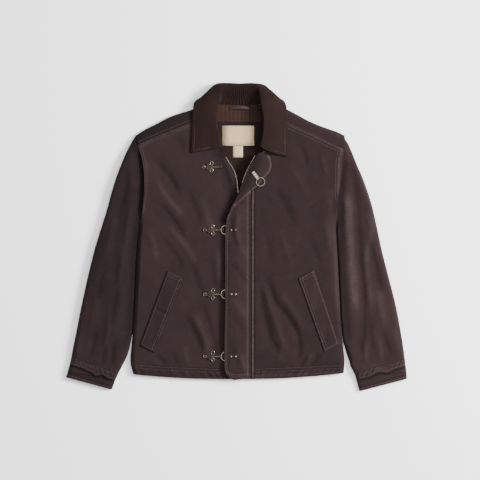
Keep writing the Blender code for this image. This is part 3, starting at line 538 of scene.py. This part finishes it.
@dataclass(frozen=True)
class Woven:
    """A woven cloth's finish: its colours in linear light, its weave and its sheen."""

    name: str
    cloth: Triple
    worn: Triple
    mottle: float = 0.15
    weave: float = 260.0
    bump: float = 0.25
    sheen: float = 0.012

    def material(self, effects: Effects) -> Material:
        """Builds the material."""
        material, graph, shader = start_material(self.name)
        wear_and_shade = graph.add("Attribute", attribute_name="wear_and_shade").outputs["Fac"]
        tone = graph.add("Group", {"Cloth": (*self.cloth, 1.0), "Worn": (*self.worn, 1.0), "WearAndShade": wear_and_shade,
                                   "Mottle": self.mottle}, node_tree=effects.tone)
        weave = graph.add("Group", {"Scale": self.weave}, node_tree=effects.weave)
        bump = graph.add("Bump", {"Strength": self.bump, "Distance": 0.0006, "Height": weave.outputs[0]})
        graph.feed(shader, {"Base Color": self.pattern(graph, tone.outputs["Color"]),
                            "Roughness": tone.outputs["Rough"], "Normal": bump.outputs[0],
                            "Sheen Weight": self.sheen, "Sheen Roughness": 0.5, "Specular IOR Level": 0.12})
        return material

    def pattern(self, graph: Graph, colour: NodeSocket) -> NodeSocket:
        """The colour with the cloth's own pattern over it; a plain cloth has none."""
        return colour


@dataclass(frozen=True)
class Checked(Woven):
    """A brushed check of fine lines each way."""

    line: Triple = (0.0085, 0.004, 0.003)
    across_pitch: float = 10.0
    up_pitch: float = 4.5
    across_share: float = 0.5
    up_share: float = 0.6

    def pattern(self, graph: Graph, colour: NodeSocket) -> NodeSocket:
        """Lays the check's lines over the colour."""
        where = graph.add("SeparateXYZ", {0: graph.add("TexCoord").outputs["Object"]})
        for axis, pitch, share in (("X", self.across_pitch, self.across_share),
                                   ("Y", self.up_pitch, self.up_share)):
            turn = graph.maths("MULTIPLY", where.outputs[axis], 2 * math.pi / (pitch * MM))
            band = graph.spread(graph.maths("SINE", turn), -0.1, 0.9, 0.0, share)
            colour = graph.mix(band, colour, (*self.line, 1.0))
        return colour


@dataclass(frozen=True)
class Corduroy:
    """Corduroy, whose wales follow the collar, with painted shade in the valleys between the wales."""

    name: str = "brown_corduroy"
    wale: Triple = (0.0146, 0.0076, 0.0061)
    # The valley colour is painted shade between the wales.
    shaded_valley: Triple = (0.006, 0.003, 0.0025)
    worn: Triple = (0.04, 0.024, 0.02)

    def material(self, effects: Effects) -> Material:
        """Builds the material."""
        material, graph, shader = start_material(self.name)
        phase = graph.add("Attribute", attribute_name="wale").outputs["Fac"]
        wear_and_shade = graph.add("Attribute", attribute_name="wear_and_shade").outputs["Fac"]
        rise = graph.spread(graph.maths("SINE", phase), -0.75, 0.6, 0.0, 1.0)
        ribbed = graph.mix(rise, (*self.shaded_valley, 1.0), (*self.wale, 1.0))
        tone = graph.add("Group", {"Cloth": ribbed, "Worn": (*self.worn, 1.0), "WearAndShade": wear_and_shade,
                                   "Mottle": 0.16}, node_tree=effects.tone)
        bump = graph.add("Bump", {"Strength": 0.55, "Distance": 0.0009, "Height": rise})
        graph.feed(shader, {"Base Color": tone.outputs["Color"], "Normal": bump.outputs[0],
                            "Roughness": 0.95, "Sheen Weight": 0.025, "Sheen Roughness": 0.4,
                            "Specular IOR Level": 0.08})
        return material


@dataclass(frozen=True)
class Metal:
    """A dulled metal with darker patches and fine scuffs."""

    name: str
    bright: Triple
    dull: Triple
    roughness: float = 0.32

    def material(self, effects: Effects) -> Material:
        """Builds the material."""
        material, graph, shader = start_material(self.name)
        where = graph.add("TexCoord").outputs["Object"]
        stain = graph.add("TexNoise", {"Vector": where, "Scale": 380.0, "Detail": 4.0, "Roughness": 0.65})
        scuff = graph.add("TexNoise", {"Vector": where, "Scale": 1500.0, "Detail": 2.0})
        share = graph.spread(stain.outputs[0], 0.45, 0.68, 0.0, 0.85)
        rough = graph.spread(scuff.outputs[0], 0.3, 0.7, self.roughness - 0.1, self.roughness + 0.14)
        bump = graph.add("Bump", {"Strength": 0.2, "Distance": 0.0002, "Height": scuff.outputs[0]})
        graph.feed(shader, {"Base Color": graph.mix(share, (*self.bright, 1.0), (*self.dull, 1.0)),
                            "Roughness": rough, "Normal": bump.outputs[0], "Metallic": 1.0})
        return material


@dataclass(frozen=True)
class Thread:
    """Sewing thread with its twist."""

    name: str = "sewing_thread"
    light: Triple = (0.042, 0.028, 0.026)
    dark: Triple = (0.02, 0.0125, 0.012)

    def material(self, effects: Effects) -> Material:
        """Builds the material."""
        material, graph, shader = start_material(self.name)
        where = graph.add("TexCoord").outputs["Object"]
        twist = graph.add("TexNoise", {"Vector": where, "Scale": 900.0, "Detail": 1.0})
        share = graph.spread(twist.outputs[0], 0.35, 0.65, 0.0, 1.0)
        graph.feed(shader, {"Base Color": graph.mix(share, (*self.dark, 1.0), (*self.light, 1.0)),
                            "Roughness": 0.7, "Sheen Weight": 0.2})
        return material


def start_material(name: str) -> tuple[Material, Graph, Node]:
    """A new Principled material.

    Args:
        name: The material's name.

    Returns:
        The material, a graph over its nodes, and its shader.
    """
    material = bpy.data.materials.new(name)
    material.use_nodes = True
    return material, Graph(material.node_tree), material.node_tree.nodes["Principled BSDF"]


class Wardrobe:
    """Every finish of the jacket, built once, by its slot or its use."""

    FINISHES = {
        "canvas": Woven("washed_canvas", (0.0132, 0.0068, 0.0068), (0.056, 0.038, 0.038)),
        "corduroy": Corduroy(),
        "plaid": Checked("brushed_check", (0.0212, 0.0108, 0.0072), (0.05, 0.025, 0.017), mottle=0.2),
        # The lining's colours are the check's made darker, as painted shade for the lining seen in the
        # shadow inside the neck.
        "quilted_lining": Checked("shaded_ribbed_lining", (0.0125, 0.0055, 0.0036), (0.025, 0.011, 0.0075),
                                  line=(0.0045, 0.002, 0.0015), across_share=0.12),
        "twill": Woven("dark_twill", (0.007, 0.0042, 0.0041), (0.025, 0.016, 0.015)),
        "zip_tape": Woven("zip_tape_cloth", (0.0125, 0.0078, 0.0076), (0.05, 0.033, 0.03), weave=420.0),
        "label_cloth": Woven("bare_label", (0.385, 0.288, 0.178), (0.28, 0.2, 0.13), mottle=0.05,
                             weave=520.0, bump=0.15, sheen=0.05),
        "antique_metal": Metal("dulled_nickel", (0.018, 0.0135, 0.012), (0.008, 0.006, 0.0055)),
        "brass": Metal("dull_brass", (0.034, 0.026, 0.018), (0.014, 0.0105, 0.008)),
        "rubbed": Metal("rubbed_metal", (0.19, 0.17, 0.135), (0.06, 0.05, 0.038), 0.26),
        "teeth": Metal("zip_metal", (0.15, 0.125, 0.1), (0.04, 0.032, 0.026), 0.28),
        "thread": Thread(),
        "label_thread": Thread("label_thread", (0.5, 0.36, 0.26), (0.34, 0.23, 0.16)),
    }

    def __init__(self) -> None:
        """Builds the materials over shared node groups."""
        effects = Effects()
        self.ready = {use: finish.material(effects) for use, finish in self.FINISHES.items()}
        self.ready[Slot.CANVAS_WORN.value] = self.ready[Slot.CANVAS.value]

    def __getitem__(self, use: str) -> Material:
        """The finish for a use."""
        return self.ready[use]


FACET_ANGLE, FACET_SHAPE, RIM_ANGLE = (math.radians(a) for a in (50, 120, 55))
CAGE_ROUNDS, CAGE_STEP = 3, 0.9
FADE_HEIGHT, LIFT_WEAR_AND_SHADE, LIFT_RANGE = 5.0, 0.07, (-2.0, 2.5)
WALE_PITCH, WALE_ALONG, WALE_UP = 3.9, 0.87, 0.5
COLLAR_MIDDLE, COLLAR_TURN = (8.0, 370.0), 45.0


@dataclass
class Cloth:
    """One piece of cloth: its solid refined, creased and rubbed, with painted light and shade.

    A fold fades out where the solid is lower than low, so that the parts that touch the floor stay flat.
    """

    node: str
    slot: Slot
    flat: tuple[float, float]
    rests_on: tuple[str, ...]
    level: int = 3
    folds: tuple = ()
    # The worn lines give rubbed wear, painted highlights and painted shade; the base level makes the whole
    # piece paler above 0 and darker below 0.
    worn: tuple[WearAndShadeLine, ...] = ()
    base_wear_and_shade: float = 0.04
    low: float = 8.0
    wale: bool = False
    tucks: tuple[Tuck, ...] = ()
    smooth: bool = True
    trims: list[Object] = field(default_factory=list)
    piece: Object | None = None

    def refined(self) -> Mesh:
        """A finer copy of the solid's mesh, smooth over the panel and crisp at its cut edges."""
        shape = bmesh.new()
        shape.from_mesh(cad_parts[self.node].data)
        bmesh.ops.remove_doubles(shape, verts=shape.verts, dist=1e-6)
        bmesh.ops.join_triangles(shape, faces=shape.faces, angle_face_threshold=FACET_ANGLE,
                                 angle_shape_threshold=FACET_SHAPE)
        crease = shape.edges.layers.float.new("crease_edge")
        for edge in shape.edges:
            if edge.calc_face_angle(0.0) > RIM_ANGLE:
                edge[crease] = 1.0
        coarse = as_mesh(self.node + "_coarse", shape)
        target = read_points(coarse)
        cage = target.copy()
        for _ in range(CAGE_ROUNDS if self.smooth else 0):
            trial = divided(coarse, 1)
            cage += CAGE_STEP * (target - read_points(trial)[:len(target)])
            write_points(coarse, cage)
            bpy.data.meshes.remove(trial)
        mesh = divided(coarse, self.level, self.smooth)
        bpy.data.meshes.remove(coarse)
        return mesh

    def make(self, finish: Material) -> Object:
        """Builds the piece, with its finish, in place of its solid."""
        mesh = self.refined()
        mesh.name = self.node + "_cloth"
        places = read_points(mesh) / MM
        x, y, z = places.T
        share = ease((z - self.low) / FADE_HEIGHT)
        lift = sum((fold.lift(x, y) for fold in self.folds), np.zeros(len(x)))
        places[:, 2] += lift * share
        for tuck in self.tucks:
            places[:, :2] += tuck.shift(x, y)
        write_points(mesh, places * MM)
        # Colour for each point: the worn lines over the base level, then paler on raised folds as washed
        # wear and darker in the troughs as painted shade.
        wear_and_shade = sum((line.wear_and_shade(x, y) for line in self.worn), np.full(len(x), self.base_wear_and_shade))
        wear_and_shade = np.clip(wear_and_shade + LIFT_WEAR_AND_SHADE * np.clip(lift, *LIFT_RANGE) * share, -1.0, 1.0)
        self._attribute(mesh, "wear_and_shade", wear_and_shade)
        if self.wale:
            x, y = x - COLLAR_MIDDLE[0], y - COLLAR_MIDDLE[1]
            tilt = np.clip(x / COLLAR_TURN, -1.0, 1.0)
            phase = 2 * math.pi * (WALE_ALONG * x + WALE_UP * y * tilt) / WALE_PITCH
            self._attribute(mesh, "wale", phase)
        mesh.materials.clear()
        mesh.materials.append(finish)
        self.piece = as_piece(mesh)
        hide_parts(self.node)
        log.info("%s has %d faces", self.piece.name, len(mesh.polygons))
        return self.piece

    @staticmethod
    def _attribute(mesh: Mesh, name: str, values: Array) -> None:
        """Keeps a number for each point of the mesh."""
        layer = mesh.attributes.new(name, "FLOAT", "POINT")
        layer.data.foreach_set("value", values.astype(np.float32))

    def declare(self) -> None:
        """Measures the area of the solid's faces; the result is not kept."""
        shape = bmesh.new()
        shape.from_mesh(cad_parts[self.node].data)
        both = sum(face.calc_area() for face in shape.faces)
        shape.free()


@dataclass
class Stitching:
    """Rows of stitches laid on some cloth."""

    name: str
    rows: tuple[Path, ...]
    over: Surface
    finish: Material
    slot: Slot
    pitch: float = 3.4
    long: float = 2.7
    wide: float = 0.85
    high: float = 0.55

    def make(self) -> Object:
        """Builds every stitch as a small bead of thread, joined as one piece."""
        shape = bmesh.new()
        for row in self.rows:
            points, at = measured(row)
            for s in np.arange(self.pitch / 2, at[-1], self.pitch):
                self._stitch(shape, place_along(points, at, s - self.long / 2),
                             place_along(points, at, s + self.long / 2))
        return as_piece(as_mesh(self.name, shape, self.finish))

    def _stitch(self, shape: BMesh, near: Array, far: Array) -> None:
        """One stitch from near to far, resting on the cloth."""
        low, high = self.over.top(*near, -1.0), self.over.top(*far, -1.0)
        if min(low, high) < 0:
            return
        start, end = Vector((*near, low)), Vector((*far, high))
        run = end - start
        turn = run.to_track_quat("X", "Z").to_matrix().to_4x4()
        middle = (start + end) / 2 + Vector((0, 0, self.high * 0.2))
        size = Matrix.Diagonal((run.length, self.wide, self.high * 1.3, 1.0))
        place = TO_METRES @ Matrix.Translation(middle) @ turn @ size
        bmesh.ops.create_icosphere(shape, subdivisions=1, radius=0.5, matrix=place)


@dataclass
class ZipTeeth:
    """The metal teeth along one edge of the zip."""

    side: str
    line: Path
    tape: Surface
    finish: Material
    pitch: float = 2.3
    block: Triple = (1.2, 2.0, 1.5)
    nib: Triple = (0.7, 1.2, 2.1)

    def make(self) -> Object:
        """Builds each tooth as a small block with a nib."""
        points, at = measured(self._curve())
        shape = bmesh.new()
        for s in np.arange(1.5, at[-1] - 1.0, self.pitch):
            x, y = place_along(points, at, s)
            ahead = place_along(points, at, s + 0.5) - (x, y)
            turn = Matrix.Rotation(math.atan2(ahead[1], ahead[0]), 4, "Z")
            spot = TO_METRES @ Matrix.Translation((x, y, self.tape.top(x, y, 12.0) + 1.0)) @ turn
            for size in (self.block, self.nib):
                bmesh.ops.create_cube(shape, size=1.0, matrix=spot @ Matrix.Diagonal((*size, 1.0)))
        piece = as_piece(as_mesh("zip_teeth_" + self.side, shape, self.finish), smooth=False)
        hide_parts("zip_chain_" + self.side)
        return piece

    def _curve(self) -> Array:
        """The line of the teeth with its corners eased."""
        points = np.array(self.line, float)
        for _ in range(3):
            cut = np.empty((2 * len(points) - 2, 2))
            cut[0::2] = 0.75 * points[:-1] + 0.25 * points[1:]
            cut[1::2] = 0.25 * points[:-1] + 0.75 * points[1:]
            points = np.vstack([points[:1], cut, points[-1:]])
        return points


@dataclass
class Eyelets:
    """Small dark eyelets set on the open ring's plate."""

    spots: tuple[Triple, ...]
    finish: Material
    radius: float = 1.35
    dome: float = 0.35

    def make(self) -> Object:
        """Builds the eyelets as flattened balls."""
        shape = bmesh.new()
        for spot in self.spots:
            size = Matrix.Diagonal((self.radius, self.radius, self.dome, 1.0))
            place = TO_METRES @ Matrix.Translation(spot) @ size
            bmesh.ops.create_uvsphere(shape, u_segments=14, v_segments=8, radius=1.0, matrix=place)
        return as_piece(as_mesh("clasp_eyelets", shape, self.finish))


@dataclass
class ClaspRims:
    """The raised rims round each hook's eyes, and the bright rod along its shank."""

    hooks: tuple[Point, ...]
    finish: Material
    eyes: tuple[tuple[float, float, float, float], ...] = (
        (0.4, 0.0, 4.1, 3.1), (20.4, 8.9, 3.7, 5.0), (20.4, -8.9, 3.7, 5.0))
    plate: float = 1.2
    wire: float = 0.6
    rod: Triple = (27.0, 1.5, 1.3)
    rod_middle: float = 26.5
    steps: int = 20
    sides: int = 6

    def make(self) -> Object:
        """Builds the rims and rods of every hook as one piece."""
        shape = bmesh.new()
        for number, (x, y) in enumerate(self.hooks, 1):
            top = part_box(f"clasp_hook_{number}")[0].z / MM + self.plate
            for across, up, wide, tall in self.eyes:
                self._rim(shape, (x + across, y + up, top + 0.1), wide, tall)
            spot = Matrix.Translation((x + self.rod_middle, y, top + self.wire))
            spot = spot @ Matrix.Diagonal((*self.rod, 1.0))
            bmesh.ops.create_icosphere(shape, subdivisions=2, radius=0.5, matrix=TO_METRES @ spot)
        return as_piece(as_mesh("clasp_rims", shape, self.finish))

    def _rim(self, shape: BMesh, centre: Triple, wide: float, tall: float) -> None:
        """One oval ring of round wire."""
        rows = []
        for k in range(self.steps):
            a = 2 * math.pi * k / self.steps
            row = []
            for m in range(self.sides):
                b = 2 * math.pi * m / self.sides
                grown = self.wire * math.cos(b)
                place = Vector(((wide + grown) * math.cos(a), (tall + grown) * math.sin(a),
                                self.wire * math.sin(b)))
                row.append(shape.verts.new((Vector(centre) + place) * MM))
            rows.append(row)
        for near, far in zip(rows, rows[1:] + rows[:1]):
            for m in range(self.sides):
                n = (m + 1) % self.sides
                shape.faces.new((near[m], far[m], far[n], near[n]))


class Jacket:
    """The whole jacket, piece by piece."""

    ZIP_LEFT: Path = ((4.2, -344), (4.2, -100), (4.2, 60), (3.7, 112), (1.7, 138), (-2.3, 157),
                      (-8.8, 171.5), (-18.7, 186.3), (-27.6, 200.6))
    ZIP_RIGHT: Path = ((9.2, -344), (9.2, -100), (9.2, 60), (10, 108), (13.7, 133.6), (20.1, 152.5),
                       (27.8, 169.5), (37.7, 188.6), (47.6, 204.4))
    HOOKS: tuple[Point, ...] = ((-82.0, 174.5), (-79.0, 17.5), (-79.0, -142.5), (-79.0, -297.5))
    EYELETS: tuple[Point, ...] = ((44.2, 158.0), (49.3, 152.0))
    METALS = (("clasp_ring", "rubbed"), ("flap_rivet", "rubbed"), ("ring_plate_1", "rubbed"),
              ("clasp_hook", Slot.METAL.value), ("ring_plate", Slot.METAL.value),
              ("zip_slider", Slot.METAL.value), ("clasp_bar", Slot.BRASS.value))

    def __init__(self, wardrobe: Wardrobe) -> None:
        """Lists the cloth from the floor up."""
        self.w = wardrobe
        slot, worn = Slot.CANVAS, Slot.CANVAS_WORN
        hem = ("back",)
        neck = Tuck(((-56, 322), (-40, 330), (8, 331), (60, 329), (72, 322)), 10, (0, 9))
        left = Tuck(((-242, 226), (-232, 190), (-229, 150), (-231, 110), (-238, 60), (-247, 34),
                     (-252, -40), (-256, -126), (-260, -215), (-261, -235)), 7, (2.8, 0))
        right = Tuck(((274, 246), (262, 215), (255, 170), (254, 92), (257, 0), (262, -100),
                      (269, -200), (274, -262)), 7, (-2.8, 0))
        yoke = Tuck(((-252, 232), (-205, 249)), 5, (0.4, -1.8))
        front, yokes = FRONT_CREASES + FRONT_PUCKERS, (FRONT_PUCKERS[:2], FRONT_WEAR_AND_SHADE[:2])
        left_cuff = (Seams.CUFF_LEFT, Seams.TURN_LEFT, Seams.END_LEFT)
        right_cuff = (Seams.CUFF_RIGHT, Seams.TURN_RIGHT, Seams.END_RIGHT)
        cloths = (
            Cloth("back", slot, (560, 710), (), 2, tucks=(neck,), smooth=False),
            Cloth("front_left", slot, (300, 690), hem, 3, front, FRONT_WEAR_AND_SHADE, 0.02),
            Cloth("front_right", slot, (300, 690), hem, 3, front, FRONT_WEAR_AND_SHADE, -0.08),
            # The left yoke's level of -0.42 is painted shade, for the side away from the light.
            Cloth("yoke_left", slot, (220, 80), hem, 3, *yokes, -0.42, tucks=(yoke,)),
            Cloth("yoke_right", slot, (220, 80), hem, 3, *yokes, -0.08),
            Cloth("sleeve_under_left", slot, (250, 650), (), 2, tucks=(left,)),
            Cloth("sleeve_under_right", slot, (250, 650), (), 2, tucks=(right,)),
            # On the left sleeve, the dark line along its inner side and the wide dark band down it are
            # painted shade.
            Cloth("sleeve_top_left", slot, (250, 660), ("sleeve_under_left",), 3,
                  SLEEVE_LEFT_CREASES + self._cuff(*left_cuff, 1),
                  self._cuff_wear_and_shade(*left_cuff) + rubbed(
                      (Seams.SIDE_LEFT, 12, -0.3), (((-262, 190), (-300, 20), (-350, -140)), 60, -0.22)),
                  -0.06, tucks=(left,)),
            # On the right sleeve, the pale band near the body is a painted highlight.
            Cloth("sleeve_top_right", slot, (250, 660), ("sleeve_under_right",), 3,
                  SLEEVE_RIGHT_CREASES + self._cuff(*right_cuff, -1),
                  self._cuff_wear_and_shade(*right_cuff) + rubbed((((284, 90), (290, -60), (300, -170)), 14, 0.14)),
                  tucks=(right,)),
            Cloth("back_lining", Slot.LINING, (460, 560), hem, 3),
            Cloth("neck_facing", Slot.TWILL, (360, 68), hem, 2),
            Cloth("inner_yoke", Slot.PLAID, (202, 31), hem, 3, tucks=(neck,), smooth=False),
            Cloth("neck_label", Slot.LABEL, (80, 50), ("neck_facing",), 2),
            Cloth("size_tag", Slot.LABEL, (25, 29), ("back_lining",), 2),
            Cloth("hanger_loop", worn, (50, 10), ("inner_yoke",), 2, base_wear_and_shade=0.4),
            Cloth("zip_tape_left", Slot.TAPE, (14, 560), ("front_left",), 2),
            Cloth("zip_tape_right", Slot.TAPE, (14, 560), ("front_right",), 2),
            # The collar's dark band across its stand is painted shadow.
            Cloth("collar", Slot.CORDUROY, (480, 130), ("front_left", "front_right"), 3,
                  worn=rubbed((((-34, 357), (52, 357)), 18, -0.3)), wale=True),
            Cloth("pocket_welt_left", worn, (45, 206), ("front_left",), 3,
                  front + self._welt(Seams.POCKET_LEFT), self._welt_wear_light_and_shade(Seams.POCKET_LEFT), -0.1),
            Cloth("pocket_welt_right", worn, (45, 206), ("front_right",), 3,
                  front + self._welt(Seams.POCKET_RIGHT), self._welt_wear_light_and_shade(Seams.POCKET_RIGHT), 0.0),
            Cloth("flap_seam_welt", worn, (10, 468), ("front_right",), 2, base_wear_and_shade=0.5),
            Cloth("storm_flap", slot, (90, 580), ("front_right",), 3, self._flap_folds(),
                  self._flap_wear_and_shade(), 0.0),
        )
        self.cloths = {cloth.node: cloth for cloth in cloths}

    @staticmethod
    def _cuff(row: Path, turn: Path, end: Path, way: int) -> tuple:
        """The cuff's stitched row with its slanted puckers, its turned fold and its end."""
        left = turn if way > 0 else tuple(reversed(turn))
        return (Puckers(row, 11.5, 6.5, 1.3, 0.6, 0.9 * way, -5.0 * way), Puckers(row, 8, 3, 0.3, 0.6),
                Step(left, 2.2, 2.6, 6.5), Puckers(end, 9.0, 4.0, 0.6, 1.0))

    @staticmethod
    def _cuff_wear_and_shade(row: Path, turn: Path, end: Path) -> tuple[WearAndShadeLine, ...]:
        """The cuff's rubbed wear and painted light and shade: painted shade along the stitched row, under
        the turned fold and above the end, a painted highlight on the turned fold's edge, and rubbed wear on
        the end.
        """
        below = tuple((x, y - 3.5) for x, y in turn)
        above = tuple((x, y + 5) for x, y in end)
        return rubbed((row, 2, -0.25), (turn, 3, 0.22), (below, 2.6, -0.6), (end, 4, 0.15),
                      (above, 2, -0.35))

    @staticmethod
    def _welt(corners: Path) -> tuple:
        """A pocket welt's stitched grooves and its small creases."""
        a, b, c, d = corners
        middle = ((a[0] + d[0]) / 2, (a[1] + d[1]) / 2), ((b[0] + c[0]) / 2, (b[1] + c[1]) / 2)
        inner = 1 if a[0] < b[0] else -1
        return (Puckers((a, d), 9, 3, 0.3, 0.4, 0, 3 * inner),
                Puckers((b, c), 6.5, 4, 0.6, 0.7, 0, -5 * inner),
                Puckers((a, b), 8, 5, 0.7, 0.5, 0, -5 * inner),
                *folds((middle, 5, -1.6, 8), (*a, *middle[1], 10, 1.0, 4), (*middle[0], *c, 9, -0.9, 4)))

    @staticmethod
    def _welt_wear_light_and_shade(corners: Path) -> tuple[WearAndShadeLine, ...]:
        """A pocket welt's painted light and shade. On a welt whose opening edge faces the light, its edges
        are painted paler as highlights; on the other, the inner edge and lower end are painted darker as
        shade and the opening edge a little paler. The top is paler on both.
        """
        a, b, c, d = corners
        lit = a[0] > b[0]
        return rubbed(((a, d), 2, 0.55 if lit else 0.1), ((b, c), 2, 0.3 if lit else -0.2),
                      ((a, b), 4, 0.2), ((c, d), 3, 0.2 if lit else -0.2))

    @staticmethod
    def _flap_folds() -> tuple:
        """The flap's stitched edge and seam, and its soft creases."""
        soft = folds(
            (((-8, 62), (-14, 30), (-10, 0), (6, -30)), 7, -2.0, 25),
            (((6, 66), (0, 24), (6, -20)), 8, 1.5, 25), (-16, 10, 28, -60, 8, 1.3, 4),
            (-22, -60, 26, -124, 9, -1.4, 4), (-18, -150, 26, -210, 9, 1.3, 4),
            (-20, -190, 24, -256, 8, -1.3, 4), (2, -286, 22, -344, 8, 1.8, 4),
            (-20, -270, 4, -330, 8, -1.4, 3))
        return (Puckers(Seams.FLAP_EDGE, 10, 4, 0.5, 0.7, 0, 7),
                Puckers(Seams.FLAP_SEAM, 9, 5, 0.9, 0.4, 0.5), *soft)

    @staticmethod
    def _flap_wear_and_shade() -> tuple[WearAndShadeLine, ...]:
        """Where the flap is rubbed: its edges, its seam and the rolled edge; with a wide painted shade near
        its rolled top and painted shade in the groove beside its seam welt.
        """
        roll = ((-24, 36), (-20, 52), (-13, 69), (0, 98), (13, 128), (23, 152), (34, 178))
        free = ((-5, 78), (20, 101), (53, 128), (69, 147), (84, 166), (86, 184), (80, 202), (66, 214))
        return rubbed((((-4, 98), (16, 128), (34, 160), (50, 194)), 16, -0.6),
                      (Seams.FLAP_EDGE, 2, 0.3), (Seams.FLAP_SEAM, 5, 0.15),
                      (((35.2, -352), (35.2, 0), (35.4, 100)), 1.6, -0.75),
                      (roll, 2.5, 0.3), (free, 2.5, 0.6), (Seams.HEM_FLAP, 4, 0.15))

    def build(self) -> None:
        """Makes the cloth, its sewing, the zip and the clasps, and measures every sheet."""
        for cloth in self.cloths.values():
            cloth.make(self.w[cloth.slot.value])
        self._sew()
        self._close()
        self._finish_metal()
        for cloth in self.cloths.values():
            cloth.declare()

    def _surface(self, *nodes: str) -> Surface:
        """The tops of some of the cloth."""
        return Surface([self.cloths[node].piece for node in nodes])

    def _row(self, name: str, rows: tuple[Path, ...], nodes: tuple[str, ...]) -> None:
        """Sews some rows and hangs them on the first of their cloths."""
        row = Stitching(name, rows, self._surface(*nodes), self.w["thread"], Slot.CANVAS_WORN)
        self.cloths[nodes[0]].trims.append(row.make())

    def _sew(self) -> None:
        """Lays every row of stitches."""
        for side, yoke, arm, out, hem in (
                ("left", Seams.YOKE_LEFT, Seams.ARM_LEFT, -6.5, Seams.HEM_LEFT),
                ("right", Seams.YOKE_RIGHT, Seams.ARM_RIGHT, 6.5, Seams.HEM_RIGHT)):
            self._row("stitches_front_" + side, (shifted(yoke, -2.5), shifted(yoke, -9), arm,
                                                 shifted(arm, out), hem, shifted(hem, -7)),
                      ("front_" + side, "yoke_" + side))
        for side, row, end in (("left", Seams.CUFF_LEFT, Seams.END_LEFT),
                               ("right", Seams.CUFF_RIGHT, Seams.END_RIGHT)):
            self._row("stitches_cuff_" + side, (row, shifted(row, -4 if side == "left" else 4), end),
                      ("sleeve_top_" + side,))
        for side, corners in (("left", Seams.POCKET_LEFT), ("right", Seams.POCKET_RIGHT)):
            self._row("stitches_pocket_" + side, self._welt_rows(corners), ("pocket_welt_" + side,))
        self._row("stitches_flap", (shifted(Seams.FLAP_EDGE, 5), shifted(Seams.FLAP_SEAM, -2),
                                    shifted(Seams.HEM_FLAP, 4)), ("storm_flap",))
        self._row("stitches_collar", (
            ((-107, 216), (-105, 243), (-104, 275)), ((-107, 216), (-92, 218.5), (-66, 222.5)),
            ((121, 207), (121, 240), (120, 270)), ((121, 207), (108, 211), (92, 214.5))), ("collar",))
        border = ((-33, 230.5), (41, 230.5), (41, 275.5), (-33, 275.5), (-33, 230.5))
        label = Stitching("stitches_label", (border,), self._surface("neck_label"), self.w["label_thread"],
                          Slot.LABEL, 2.6, 1.9, 0.6, 0.4)
        self.cloths["neck_label"].trims.append(label.make())

    @staticmethod
    def _welt_rows(corners: Path) -> tuple[Path, ...]:
        """The rows round a pocket's welt: one at its opening, two at its inner edge, one at each end."""
        a, b, c, d = (np.array(corner, float) for corner in corners)
        wide, long = (b - a) / np.linalg.norm(b - a), (d - a) / np.linalg.norm(d - a)
        rows = [(a + wide * 3 + long * 3, d + wide * 3 - long * 3)]
        rows += [(b - wide * inset + long * 3, c - wide * inset - long * 3) for inset in (2.5, 8)]
        rows += [(a + long * down + wide * 3, b + long * down - wide * 3) for down in (4, 10)]
        rows.append((d - long * 4 + wide * 3, c - long * 4 - wide * 3))
        return tuple((tuple(start), tuple(end)) for start, end in rows)

    def _close(self) -> None:
        """Sets the zip's teeth on their tapes."""
        for side, line in (("left", self.ZIP_LEFT), ("right", self.ZIP_RIGHT)):
            teeth = ZipTeeth(side, line, self._surface("zip_tape_" + side), self.w["teeth"]).make()
            self.cloths["zip_tape_" + side].trims.append(teeth)

    def _finish_metal(self) -> None:
        """Gives the metal its finishes, and the clasps their eyelets, rims and rods."""
        for name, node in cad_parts.items():
            use = next((use for start, use in self.METALS if name.startswith(start)), None)
            if use:
                node.data.materials.clear()
                node.data.materials.append(self.w[use])
        plate = Surface([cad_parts["ring_plate_1"]])
        spots = tuple((x, y, plate.top(x, y, 20.0)) for x, y in self.EYELETS)
        Eyelets(spots, self.w[Slot.METAL.value]).make()
        ClaspRims(self.HOOKS, self.w["rubbed"]).make()


@dataclass
class Studio:
    """The floor, the lights and the camera over the jacket."""

    floor_half: float = 8.0
    floor_gap: float = 0.0005
    view_wide: float = 1.2
    high: float = 6.0
    centre: tuple[float, float] = (0.00875, -0.0075)

    def build(self) -> None:
        """Builds the studio."""
        self._floor()
        self._light("key", (3.2, 0.7, 2.4), 1.3, 540.0)
        self._light("overhead", (0.6, 0.5, 3.6), 3.4, 175.0)
        world = bpy.data.worlds.new("studio")
        world.use_nodes = True
        sky = world.node_tree.nodes["Background"]
        sky.inputs["Color"].default_value = (0.97, 0.96, 1.0, 1.0)
        sky.inputs["Strength"].default_value = 0.58
        bpy.context.scene.world = world
        lens = bpy.data.cameras.new("camera")
        lens.lens = lens.sensor_width * self.high / self.view_wide
        lens.clip_end = 50.0
        camera = placed("camera", lens)
        camera.location = (*self.centre, self.high)
        bpy.context.scene.camera = camera

    def _floor(self) -> None:
        """A wide, plain pale floor."""
        shape = bmesh.new()
        bmesh.ops.create_grid(shape, x_segments=1, y_segments=1, size=self.floor_half)
        material, graph, shader = start_material("pale_floor")
        graph.feed(shader, {"Base Color": (0.93, 0.915, 0.955, 1.0), "Roughness": 0.9,
                            "Specular IOR Level": 0.1})
        floor = placed("floor", as_mesh("floor", shape, material))
        floor.location.z = -self.floor_gap

    @staticmethod
    def _light(name: str, place: Triple, size: float, power: float) -> None:
        """A soft square light that looks at the jacket."""
        lamp = bpy.data.lights.new(name, "AREA")
        lamp.size = size
        lamp.energy = power
        thing = placed(name, lamp)
        thing.location = place
        thing.rotation_euler = (-Vector(place)).to_track_quat("-Z", "Y").to_euler()


def main() -> None:
    """Builds the studio and the jacket."""
    logging.basicConfig(level=logging.INFO, format="%(name)s: %(message)s")
    Studio().build()
    Jacket(Wardrobe()).build()
    bpy.context.view_layer.update()


if __name__ == "__main__":
    main()
